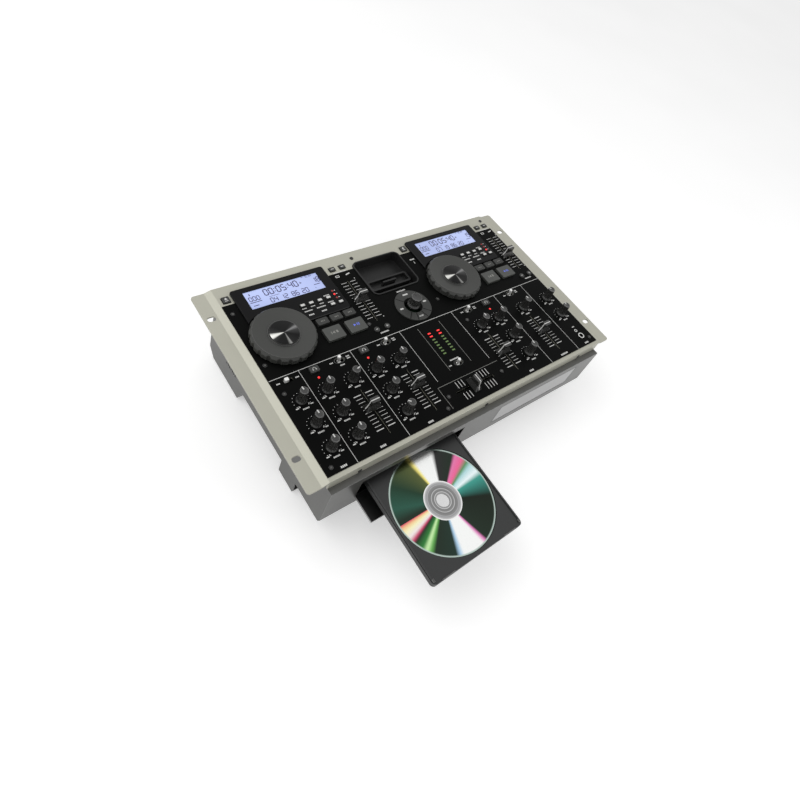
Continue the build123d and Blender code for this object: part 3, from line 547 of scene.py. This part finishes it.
lcd_faint = finish("lcd_faint", (0.10, 0.09, 0.26), 0.4, speckle=0.15, grain=700)
red_on = lit("red_lamp_on", (0.80, 0.03, 0.03), (1.0, 0.03, 0.03), 0.75)
red_off = finish("red_lamp_off", (0.30, 0.015, 0.015), 0.3, speckle=0.2)
green_dim = lit("green_lamp", (0.10, 0.17, 0.05), (0.12, 0.20, 0.05), 0.30)
disc_low, disc_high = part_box("disc")
silvered_disc = disc_finish((disc_low + disc_high) / 2, 60 * MM)
door_shut = two_sided_door("door_shut", (0.42, 0.42, 0.42), (0.012, 0.012, 0.012), (0, 1, 0))
door_open = two_sided_door("door_open", (0.33, 0.33, 0.33), (0.012, 0.012, 0.012), (0, 0, 1))
glass = backlit_glass()

slot_finish = {
    "silver": silver_panel, "grey_steel": housing_paint, "rubber": foot_rubber, "black_plate": black_overlay,
    "black_gloss": black_gloss, "pane": glass, "lamp": red_off, "black_steel": black_screw, "board": board_green,
    "black_plastic": black_moulding, "socket_metal": bright_metal, "disc": silvered_disc, "door": door_shut,
    "tray": tray_moulding, "jog": jog_rubber, "knob": knob_black, "chrome": toggle_metal, "key": key_grey,
    "rubber_key": rubber_key,
}
for name, node in nodes.items():
    new_finish = door_open if name == "door_left" else slot_finish[node_slot[name]]
    node.data.materials.clear()
    node.data.materials.append(new_finish)


# ---------------------------------------------------------------- silk-screen print on the black plate
def panel_lines():
    """Rules that divide the mixer into channels."""
    lines = [flat_bar(0, -6.2, ink, 433, 0.6)]
    for x in (-181.0, -113.5, 123.5, 178.3):
        lines.append(flat_bar(x, -67.1, ink, 0.5, 121.4))
    for x in (-40.8, 44.5):
        lines.append(flat_bar(x, -46.1, ink, 0.5, 79.8))
    fit(assemble(lines, "panel_rules", white_ink), "console")
    thin = [flat_bar(-16, -45.7, ink, 0.45, 67.5), flat_bar(19, -45.7, ink, 0.45, 67.5),
            flat_bar(2.3, -93.3, ink, 98.3, 0.45), flat_bar(-46.8, -108.3, ink, 0.45, 30)]
    fit(assemble(thin, "panel_fine_rules", faint_ink), "console")


def fader_scales():
    """Tick ladders beside the faders."""
    ticks = []
    for x in channel_x:
        for side in (-1, 1):
            ticks.append(repeat(flat_bar(x + side * 7.4, -66.5, ink, 8.6, 0.5), 9, 0, -4.55))
            ticks.append(repeat(flat_bar(x + side * 7.6, -62.0, ink, 9.4, 0.95), 2, 0, -45.5))
    for x in (-56.3, 203.7):
        for side in (-1, 1):
            ticks.append(repeat(flat_bar(x + side * 6.7, 86.0, ink, 8.0, 0.6), 13, 0, -5.04))
        ticks.append(word(x + 11.5, 89.5, ink, 1, 1.2))
        ticks.append(word(x + 11.5, 22.0, ink, 1, 1.2))
    for start, count, step in ((-21.8, 3, 4.8), (13.3, 4, 4.7)):
        ticks.append(repeat(flat_bar(start, -100.0, ink, 0.8, 9.0), count, step, 0))
        ticks.append(repeat(flat_bar(start, -116.5, ink, 0.8, 9.0), count, step, 0))
    fit(assemble(ticks, "fader_scales", white_ink), "console")


knob_places = {
    "knob_mic_level": (-196.8, rows[0], 4), "knob_mic_treble": (-196.8, rows[1], 2),
    "knob_mic_bass": (-196.8, rows[2], 0), "knob_aux_treble": (-164.8, rows[0], -3),
    "knob_aux_mid": (-164.8, rows[1], 2), "knob_aux_bass": (-164.8, rows[2], 0),
    "knob_aux_gain": (-131.5, rows[0], -78), "knob_left_treble": (-98.5, rows[0], 8),
    "knob_left_mid": (-98.5, rows[1], 3), "knob_left_bass": (-98.5, rows[2], 48),
    "knob_left_gain": (-65.8, rows[0], 2), "knob_right_gain": (70.0, rows[0], 5),
    "knob_right_treble": (102.3, rows[0], 12), "knob_right_mid": (102.3, rows[1], 0),
    "knob_right_bass": (102.3, rows[2], 2), "knob_master_balance": (151.0, rows[0], 6),
    "knob_phones_mix": (199.5, rows[0], 30), "knob_phones_level": (199.5, rows[1], 0),
}


def knob_dials():
    """Dots round each knob, the two end marks and the word below it."""
    marks = [flat_dot(*on_ring(0, 0, 9.7, a), 0, 0.42, 8) for a in range(-125, 126, 25)]
    marks += [flat_bar(-8.6, -7.4, 0, 3.6, 1.3), flat_bar(8.6, -7.4, 0, 3.6, 1.3),
              flat_bar(-5.6, -6.3, 0, 1.0, 2.2, 35), flat_bar(5.6, -6.3, 0, 1.0, 2.2, -35), word(0, -10.4, 0, 5)]
    dial = assemble(marks, "dial_pattern")
    dials = [copy_to(dial, x, y, ink) for x, y, _ in knob_places.values()]
    scrap(dial)
    fit(assemble(dials, "knob_dials", white_ink), "console")


def panel_words():
    """Stand-ins for the short printed words, and the small function marks."""
    marks = []
    for x, count in ((-196, 4), (-147, 4), (-81.5, 4), (86, 4), (151, 7), (199, 4)):
        marks.append(word(x, -124.6, ink, count, 2.3, 1.9))
    for x in channel_x:
        marks.append(word(x - 11.0, -13.0, ink, 3, 1.6))
        marks.append(word(x + 11.5, -11.4, ink, 3, 1.5))
        marks.append(word(x + 11.5, -14.0, ink, 3, 1.5))
    for x, y, count, height in ((-209.0, -13.0, 3, 1.6), (-186.0, -13.0, 3, 1.6), (-131.5, -19.6, 4, 1.6),
                                (0.0, -68.0, 9, 1.8), (-11.5, -74.5, 3, 1.5), (1.5, 48.6, 9, 2.0)):
        marks.append(word(x, y, ink, count, height))
    for x in pitch_marks_x:
        marks += [word(x, 0.8, ink, 8, 1.8), flat_bar(x, 105.2, ink, 19, 1.1),
                  flat_bar(x - 7.0, 99.0, ink, 5.5, 3.4), flat_bar(x + 8.5, 99.0, ink, 6.5, 1.6, 12)]
    marks += [word(51.8, 91.0, ink, 5, 2.2), flat_bar(51.8, 85.0, ink, 0.8, 4.0), word(-195.0, 76.5, ink, 3, 1.5),
              word(200.0, -96.5, ink, 3, 1.6), flat_dot(199.0, -103.0, ink, 2.3, 20)]
    fit(assemble(marks, "panel_marks", white_ink), "console")
    dark = [flat_bar(x - 7.0, 99.0, ink + MARK_LIFT, 3.6, 1.8) for x in pitch_marks_x]
    dark.append(flat_dot(199.0, -103.0, ink + MARK_LIFT, 1.2, 16))
    fit(assemble(dark, "panel_marks_open", black_overlay), "console")


def deck_words():
    """Small marks printed on the glossy display surrounds."""
    marks = []
    z = frame_top + PRINT_LIFT
    for centre in deck_centres.values():
        for x in (-2.0, 9.7, 21.7):
            marks.append(word(centre + x, 66.2, z, 4, 1.2, 1.5))
        for x, y, *shape in ((33.6, 75.2, 5, 1.5, 1.6), (33.6, 64.4, 5, 1.5, 1.6), (1.0, 61.6, 7, 1.5),
                             (18.5, 61.6, 8, 1.5), (1.5, 55.3, 4, 1.9, 1.8), (19.0, 55.3, 4, 1.9, 1.8)):
            marks.append(word(centre + x, y, z, *shape))
        for y in (78.9, 73.4, 67.6):
            marks.append(flat_bar(centre + 47.6, y, z, 2.0, 0.9))
    fit(assemble(marks, "deck_marks", white_ink), "console")


# ---------------------------------------------------------------- display read-outs
segment_map = {"0": "abcdef", "1": "bc", "2": "abged", "3": "abgcd", "4": "fgbc", "5": "afgcd", "6": "afgedc",
               "7": "abc", "8": "abcdefg", "9": "abcdfg", "-": "g"}


def digit(mark, x, y, height):
    """One seven-segment figure, its lower left corner at x, y."""
    wide, thick = height * 0.52, height * 0.145
    places = {"a": (wide / 2, height, 0), "g": (wide / 2, height / 2, 0), "d": (wide / 2, 0, 0),
              "f": (0, height * 0.75, 1), "b": (wide, height * 0.75, 1),
              "e": (0, height * 0.25, 1), "c": (wide, height * 0.25, 1)}
    made = []
    for letter in segment_map[mark]:
        dx, dy, upright = places[letter]
        if upright:
            made.append(flat_bar(x + dx, y + dy, glass_ink, thick, height * 0.42))
        else:
            made.append(flat_bar(x + dx, y + dy, glass_ink, wide * 0.86, thick))
    return made


def read_out(text, x, y, height):
    """A row of figures with dots and colons."""
    made = []
    for mark in text:
        if mark == ":":
            made += [flat_bar(x + 0.3, y + height * share, glass_ink, height * 0.13, height * 0.13)
                     for share in (0.28, 0.72)]
            x += height * 0.32
        elif mark == ".":
            made.append(flat_bar(x, y, glass_ink, height * 0.14, height * 0.14))
            x += height * 0.28
        elif mark == " ":
            x += height * 0.5
        else:
            made += digit(mark, x, y, height)
            x += height * 0.78
    return made


def displays():
    """Figures and small bars in both display windows."""
    figures, faint = [], []
    for side, track, count in (("left", "04 12", "18"), ("right", "07 19", "19")):
        x = deck_centres[side] - 57.0
        figures += read_out("000", x + 2.2, 98.6, 6.2)
        figures += read_out("00:05:40", x + 23.0, 101.5, 8.8)
        figures += read_out(count, x + 87.5, 99.6, 7.4)
        figures += read_out("10.34", x + 80.5, 110.4, 3.0)
        for along, y, width, depth in ((71.5, 105.0, 3.2, 0.7), (71.5, 105.0, 0.7, 3.2), (8.5, 96.4, 15.0, 0.9),
                                       (90.5, 96.4, 9.0, 0.9), (6.5, 91.4, 6.6, 1.0), (5.4, 108.6, 1.2, 3.0),
                                       (86.0, 91.6, 1.0, 1.0)):
            figures.append(flat_bar(x + along, y, glass_ink, width, depth))
        figures += read_out(track, x + 25.5, 89.2, 6.6)
        figures += read_out("86 20", x + 53.5, 89.2, 6.6)
        faint.append(repeat(flat_bar(x + 27.0, 98.3, glass_ink, 1.4, 0.8), 7, 1.9, 0))
        faint.append(flat_bar(x + 77.5, 112.3, glass_ink, 2.2, 0.8))
    fit(assemble(figures, "display_figures", lcd_ink), "console")
    fit(assemble(faint, "display_figures_faint", lcd_faint), "console")


# ---------------------------------------------------------------- knobs
def knob_pattern(low, top, height, sides, per_flute, pointer_width):
    """A knob: round skirt, grip flutes, a rim and a pointer, standing on the origin."""
    put_down()
    bpy.ops.mesh.primitive_circle_add(vertices=sides, radius=low * MM, fill_type="NGON")
    knob = bpy.context.object
    for material in (knob_black, knob_rim, white_ink):
        knob.data.materials.append(material)
    bpy.ops.object.mode_set(mode="EDIT")
    bpy.ops.mesh.select_all(action="SELECT")
    raise_top(1.5, 1.0)
    raise_top(1.4, (low - 0.9) / low)
    raise_top(0.8, 0.985)
    raise_top(height - 5.0, top / ((low - 0.9) * 0.985))
    raise_top(0.7, 1.0)
    raise_top(0.6, (top - 0.5) / top)
    bpy.ops.mesh.inset(thickness=0.8 * MM)
    bpy.ops.transform.translate(value=(0, 0, -0.25 * MM))
    step = 2 * math.pi / sides

    def in_a_groove(place):
        count = round(math.atan2(place.y, place.x) / step) % per_flute
        return 3.5 < place.z < height - 1.0 and count < per_flute // 2

    pick(knob, in_a_groove)
    bpy.ops.transform.resize(value=(0.90, 0.90, 1), center_override=(0, 0, height * MM / 2))
    bpy.ops.object.mode_set(mode="OBJECT")
    for face in knob.data.polygons:
        centre = face.center / MM
        if centre.z > height - 0.65 and Vector((centre.x, centre.y)).length > top - 1.5:
            face.material_index = 1
    outward(knob)
    smooth(knob, 30)
    pointer = block(0, (top + 1.2) / 2, height - 1.25, pointer_width, top - 0.9, 2.6)
    for material in (knob_black, knob_rim, white_ink):
        pointer.data.materials.append(material)
    for face in pointer.data.polygons:
        face.material_index = 2
    return assemble([knob, pointer], "knob_pattern")


def stand_in_knob(knob, name, piece_name, foot, x, y):
    """Puts a finished knob and a bright shaft under it in the place of a CAD knob."""
    title(knob, piece_name)
    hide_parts(name)
    fit(knob, name)
    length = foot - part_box(name)[0].z / MM
    shaft = rod(x, y, foot - length / 2, 3, length, 24)
    title(shaft, name + "_shaft")
    shaft.data.materials.append(bright_metal)
    smooth(shaft)
    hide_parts(name)
    fit(shaft, name)


def mixer_knobs():
    """Eighteen mixer knobs from one pattern, each turned to its own setting."""
    pattern = knob_pattern(6.3, 4.7, 19.0, 48, 4, 1.25)
    for name, (x, y, turned) in knob_places.items():
        knob = copy_to(pattern, x, y, knob_foot, turned)
        stand_in_knob(knob, name, name + "_turned", knob_foot, x, y)
    scrap(pattern)


def browse_knob():
    """The wide browse knob in the middle of its ring, with no white pointer."""
    height = 15.0
    low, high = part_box("knob_browse")
    x, y = (low.x + high.x) / 2 / MM, (low.y + high.y) / 2 / MM
    foot = high.z / MM - height
    pattern = knob_pattern(8.5, 7.1, height, 64, 4, 0.01)
    for face in pattern.data.polygons:
        if face.material_index == 2:
            face.material_index = 0
    cap = copy_to(pattern, x, y, foot)
    scrap(pattern)
    stand_in_knob(cap, "knob_browse", "knob_browse_cap", foot, x, y)


# ---------------------------------------------------------------- fader caps
def cap_line(upright):
    """White line over the top of a fader cap and down both ends; upright runs it from front to back."""
    put_down()
    bpy.ops.mesh.primitive_plane_add(size=1, location=(0, 0, 14.08 * MM))
    line = bpy.context.object
    line.scale = (11.2 * MM, 1.1 * MM, 1)
    settle(line)
    bpy.ops.object.mode_set(mode="EDIT")
    for side in (-1, 1):
        pick(line, lambda place: place.x * side > 5.5)
        bpy.ops.mesh.extrude_region_move(TRANSFORM_OT_translate={"value": (side * 1.5 * MM, 0, -7.7 * MM)})
        bpy.ops.mesh.extrude_region_move(TRANSFORM_OT_translate={"value": (side * 2.4 * MM, 0, -5.0 * MM)})
    bpy.ops.object.mode_set(mode="OBJECT")
    if upright:
        line.data.transform(Matrix.Rotation(QUARTER_TURN, 4, "Z"))
    return line


def fader_lines():
    """A line for every fader cap, where the cap stands."""
    across = cap_line(False)
    along = cap_line(True)
    for name in ("fader_aux", "fader_left", "fader_right", "fader_master", "pitch_fader_left",
                 "pitch_fader_right", "crossfader"):
        low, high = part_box(name)
        middle = (low + high) / 2 / MM
        line = copy_to(along if name == "crossfader" else across, middle.x, middle.y, high.z / MM - 14.0)
        title(line, name + "_line")
        line.data.materials.append(white_ink)
        fit(line, name)
    scrap(across)
    scrap(along)


# ---------------------------------------------------------------- jog wheels
def jog_caps():
    """Spun metal disc with a painted reflection and its bright ring in the middle of each jog wheel."""
    for side, centre in deck_centres.items():
        name = "jog_wheel_" + side
        x, y = centre - 45.0, 39.0
        cap_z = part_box(name)[1].z / MM - 0.8
        cap = round_edges(rod(x, y, cap_z + 0.25, 16.7, 0.5, 96), 0.25, 2)
        title(cap, name + "_cap")
        cap.data.materials.append(spun_metal_painted_reflection(cap.name + "_metal", (x * MM, y * MM, 0)))
        smooth(cap)
        fit(cap, name)
        put_down()
        bpy.ops.mesh.primitive_torus_add(major_segments=96, minor_segments=10, major_radius=17.9 * MM,
                                         minor_radius=0.55 * MM, location=(x * MM, y * MM, (cap_z - 1.3) * MM))
        ring = settle(bpy.context.object)
        title(ring, name + "_ring")
        ring.data.materials.append(knob_rim)
        smooth(ring, 60)
        fit(ring, name)


# ---------------------------------------------------------------- keys
def arrow(x, y, z, size, turn=0.0):
    """A printed triangle pointing to the right, turned if asked."""
    put_down()
    bpy.ops.mesh.primitive_circle_add(vertices=3, radius=size * MM, fill_type="NGON",
                                      location=(x * MM, y * MM, z * MM),
                                      rotation=(0, 0, math.radians(turn - 90)))
    return settle(bpy.context.object)


def key_marks():
    """Marks on top of the keys; each set travels with its keys."""
    for side, centre in deck_centres.items():
        play = "key_play_" + side
        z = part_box(play)[1].z / MM + MARK_LIFT
        marks = [arrow(centre + 40.6, 21.9, z, 2.1), flat_bar(centre + 44.6, 21.9, z, 1.0, 3.6),
                 flat_bar(centre + 46.8, 21.9, z, 1.0, 3.6)]
        fit(assemble(marks, play + "_mark", blue_ink), play)
        cue = "key_cue_" + side
        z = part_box(cue)[1].z / MM + MARK_LIFT
        marks = [flat_bar(centre + 8.6, 21.9, z, 0.9, 3.8), arrow(centre + 12.0, 21.9, z, 2.2, 180),
                 flat_bar(centre + 16.2, 21.9, z, 2.4, 3.6)]
        fit(assemble(marks, cue + "_mark", faint_ink), cue)
        mat = "keys_small_" + side
        marks = []
        for x, turn in ((8.5, 180), (27.4, 0), (46.3, 0)):
            z = top_of(mat, centre + x, 41.9, 8.5) + MARK_LIFT
            marks += [arrow(centre + x - 1.6, 41.9, z, 1.1, turn), arrow(centre + x + 0.2, 41.9, z, 1.1, turn),
                      flat_bar(centre + x + 2.4, 41.9, z, 0.7, 1.8)]
        fit(assemble(marks, mat + "_search_marks", faint_ink), mat)
        tops = []
        for x, y in ((-2.0, 70.9), (9.7, 70.9), (21.7, 70.9), (33.6, 70.9), (33.6, 59.8), (45.2, 59.8)):
            z = top_of(mat, centre + x, y, 4.0)
            tops.append(flat_bar(centre + x, y, z + MARK_LIFT, 5.2, 3.0))
        fit(assemble(tops, mat + "_tops", white_ink), mat)
        marks = []
        z = top_of(mat, centre - 78.2, 112.4, 5.0) + MARK_LIFT
        marks += [arrow(centre - 78.2, 113.2, z, 2.2, 90), flat_bar(centre - 78.2, 110.3, z, 3.8, 0.9)]
        for x in (65.5, 80.5):
            z = top_of(mat, centre + x, 112.4, 5.0) + MARK_LIFT
            marks.append(flat_bar(centre + x, 112.4, z, 4.2, 1.0))
        for x, is_plus in ((64.5, False), (80.0, True)):
            z = top_of(mat, centre + x, 6.9, 4.2) + MARK_LIFT
            marks.append(flat_bar(centre + x, 6.9, z, 2.6, 0.8))
            if is_plus:
                marks.append(flat_bar(centre + x, 6.9, z, 0.8, 2.6))
        fit(assemble(marks, mat + "_marks", white_ink), mat)
    marks = []
    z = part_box("keys_monitor")[1].z / MM + MARK_LIFT
    for x in monitor_x:
        for a in range(-80, 81, 20):
            marks.append(flat_bar(*on_ring(x, -12.9, 1.9, a), z, 0.75, 0.5, -a))
        marks += [flat_bar(x - 1.9, -13.6, z, 0.9, 1.6), flat_bar(x + 1.9, -13.6, z, 0.9, 1.6)]
    fit(assemble(marks, "keys_monitor_marks", white_ink), "keys_monitor")
    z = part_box("browse_ring")[1].z / MM + MARK_LIFT
    marks = [flat_bar(*on_ring(browse_x, browse_y, browse_mark_radius, a), z, width, 2.2)
             for a, width in ((0, 8.0), (90, 5.0), (-90, 5.0), (180, 1.0))]
    marks += [arrow(-0.8, 3.0, z, 1.4, 180), arrow(3.6, 3.0, z, 1.4, 0)]
    fit(assemble(marks, "browse_ring_marks", white_ink), "browse_ring")
    seams = [flat_bar(*on_ring(browse_x, browse_y, browse_mark_radius, a), z - 0.02, 0.9, 11.4, -a)
             for a in (45, 135, 162, 198, 225, 315)]
    fit(assemble(seams, "browse_ring_seams", black_overlay), "browse_ring")


# ---------------------------------------------------------------- lamps
def lamps():
    """Lenses of the round lamps and of the level meter, lit as in the photograph."""
    lens_height = 5.0
    round_lens = round_edges(rod(0, 0, -lens_height / 2, 1.4, lens_height, 20), 0.5, 3)
    bar_lens = block(0, 0, -lens_height / 2, 4.2, 1.7, lens_height)
    lens_top = plate_top + 0.3
    lit_red, unlit_red, green = [], [], []
    for x in monitor_x:
        lit_red.append(copy_to(round_lens, x, -23.3, lens_top))
    for x in (-6.2, 8.4):
        for index, y in enumerate((-24.0, -28.7, -33.9, -38.4, -43.0, -47.5, -52.0, -56.5)):
            (lit_red if index < 2 else green).append(copy_to(bar_lens, x, y, lens_top))
    for side, centre in deck_centres.items():
        for index, y in enumerate((78.9, 73.4, 67.6)):
            on = index == (1 if side == "left" else 2)
            (lit_red if on else unlit_red).append(copy_to(round_lens, centre + 44.4, y, frame_top + 0.4))
    scrap(round_lens)
    scrap(bar_lens)
    for group, name, material in ((lit_red, "lamps_lit", red_on), (unlit_red, "lamps_unlit", red_off),
                                  (green, "meter_lamps", green_dim)):
        lens = assemble(group, name, material)
        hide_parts("indicator_lamps")
        fit(lens, "console")


# ---------------------------------------------------------------- collars, screw recesses, tray rails, painted shadow in the door gap
def collars():
    """Oval collars round the five toggles."""
    put_down()
    bpy.ops.mesh.primitive_torus_add(major_segments=48, minor_segments=8, major_radius=4.0 * MM,
                                     minor_radius=0.45 * MM)
    collar = bpy.context.object
    collar.scale = (1.62, 0.98, 0.8)
    settle(collar)
    toggles = [(x, switch_y) for x in channel_x] + [(1.8, -74.5)]
    made = [copy_to(collar, x, y, plate_top + 0.1) for x, y in toggles]
    scrap(collar)
    ring = assemble(made, "switch_collars", rubber_key)
    smooth(ring, 60)
    fit(ring, "console")


def screw_crosses():
    """Cross recesses on the heads of the panel screws."""
    z = plate_top + 0.74
    crosses = []
    for x, y in ((-210.5, 90.5), (-210.5, 13.8), (-69.4, 18.0), (41.5, 18.5), (-209.0, -26.5), (-208.5, -120.3),
                 (-52.3, -120.3), (57.5, -25.8), (210.3, -119.5), (-41.7, -108.3), (46.3, -108.3)):
        crosses += [flat_bar(x, y, z, 2.6, 0.6, 20), flat_bar(x, y, z, 0.6, 2.6, 20)]
    fit(assemble(crosses, "screw_crosses", screw_recess), "console")


def tray_rails():
    """Raised side rails of the open tray, and the round bars and stops at its front corners."""
    low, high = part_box("tray_left")
    low, high = low / MM, high / MM
    top = high.z
    rails = [round_edges(block(x, (low.y + high.y) / 2, top + 0.6, 1.8, high.y - low.y - 10, 1.6), 0.4, 2)
             for x in (low.x + 1.6, high.x - 1.6)]
    fit(assemble(rails, "tray_rails", tray_moulding), "tray_left")
    held = [rod(x, low.y + 0.7, top + 0.35, 0.5, 17, 20, (0, QUARTER_TURN, 0)) for x in (low.x + 20.0, high.x - 20.0)]
    held += [round_edges(block(x, low.y + 4.5, top + 0.7, 2.6, 3.4, 1.8), 0.4, 2)
             for x in (low.x + 2.4, high.x - 2.4)]
    fit(assemble(held, "tray_retainers", knob_rim), "tray_left")


def door_gap_shadow():
    """Black strips in front of the gap round the shut door: a painted shadow in the gap."""
    low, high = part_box("door_right")
    low, high = low / MM, high / MM
    # The strips stand just in front of the door face, painted shadow where the gap shows shade.
    front = low.y - 0.05
    strips = []
    for x, z, width, height in ((low.x - 0.6, (low.z + high.z) / 2, 0.9, high.z - low.z),
                                (high.x + 0.6, (low.z + high.z) / 2, 0.9, high.z - low.z),
                                ((low.x + high.x) / 2, high.z + 0.6, high.x - low.x + 2.1, 0.9)):
        put_down()
        bpy.ops.mesh.primitive_plane_add(size=1, location=(x * MM, front * MM, z * MM),
                                         rotation=(QUARTER_TURN, 0, 0))
        strip = bpy.context.object
        strip.scale = (width * MM, height * MM, 1)
        strips.append(settle(strip))
    fit(assemble(strips, "door_gap_painted_shadow", black_moulding), "console")


panel_lines()
fader_scales()
knob_dials()
panel_words()
deck_words()
displays()
mixer_knobs()
browse_knob()
fader_lines()
jog_caps()
key_marks()
lamps()
collars()
screw_crosses()
tray_rails()
door_gap_shadow()


# ---------------------------------------------------------------- floor, light and camera
def backdrop():
    """Plain pale floor, near white to the camera, that keeps the shadow."""
    put_down()
    bpy.ops.mesh.primitive_plane_add(size=24, location=(0, 0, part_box("feet")[0].z))
    floor = bpy.context.object
    floor.name = "floor"
    material, tree, shader = start_material("pale_floor")
    cloud = noise(tree, Scale=3)
    tone = ramp(tree, cloud.outputs["Fac"], [(0.3, 0.80), (0.7, 0.83)])
    tree.links.new(tone, shader.inputs["Base Color"])
    set_values(shader, Roughness=0.9, Specular_IOR_Level=0.0, Emission_Color=(1, 1, 1, 1))
    ray = tree.nodes.new("ShaderNodeLightPath")
    seen = maths(tree, "MAXIMUM", ray.outputs["Is Camera Ray"], ray.outputs["Is Glossy Ray"])
    tree.links.new(maths(tree, "MULTIPLY", seen, 0.44), shader.inputs["Emission Strength"])
    floor.data.materials.append(material)


def studio_light():
    """White surround, one broad lamp over the left shoulder and a weak one from the right."""
    aim = Vector((0, 0, -0.03))
    world = bpy.data.worlds.new("white_surround")
    bpy.context.scene.world = world
    world.use_nodes = True
    tree = world.node_tree
    sky = set_values(tree.nodes["Background"], Color=(1, 1, 1, 1))
    ray = tree.nodes.new("ShaderNodeLightPath")
    seen = maths(tree, "MAXIMUM", ray.outputs["Is Camera Ray"], ray.outputs["Is Transmission Ray"])
    seen = maths(tree, "MAXIMUM", seen, ray.outputs["Is Glossy Ray"])
    tree.links.new(spread_over(tree, seen, To_Min=0.50, To_Max=1.0), sky.inputs["Strength"])
    for name, place, size, power in (("lamp_over_left", (-0.75, 0.55, 1.25), 1.4, 10.0),
                                     ("lamp_front_right", (0.9, -1.3, 0.8), 0.9, 5.0)):
        lamp = bpy.data.lights.new(name, "AREA")
        lamp.shape = "SQUARE"
        lamp.size = size
        lamp.energy = power
        holder = bpy.data.objects.new(name, lamp)
        bpy.context.scene.collection.objects.link(holder)
        holder.location = place
        holder.rotation_euler = (aim - Vector(place)).to_track_quat("-Z", "Y").to_euler()


def camera():
    """The photograph's viewpoint: high over the left front corner, the frame cropped low."""
    lens = bpy.data.cameras.new("viewpoint")
    lens.sensor_width = 36
    lens.sensor_fit = "HORIZONTAL"
    lens.lens = 28.30
    lens.shift_x = -0.0087
    lens.shift_y = -0.1272
    holder = bpy.data.objects.new("viewpoint", lens)
    bpy.context.scene.collection.objects.link(holder)
    place = Vector((-0.46186, -0.31013, 0.56129))
    right = Vector((0.770935, -0.566893, 0.29033)).normalized()
    back = Vector((-0.57745, -0.429792, 0.694141)).normalized()
    up = back.cross(right).normalized()
    right = up.cross(back)
    turn = Matrix((right, up, back)).transposed().to_4x4()
    holder.matrix_world = Matrix.Translation(place) @ turn
    bpy.context.scene.camera = holder


backdrop()
studio_light()
camera()
bpy.context.scene.view_settings.view_transform = "Standard"
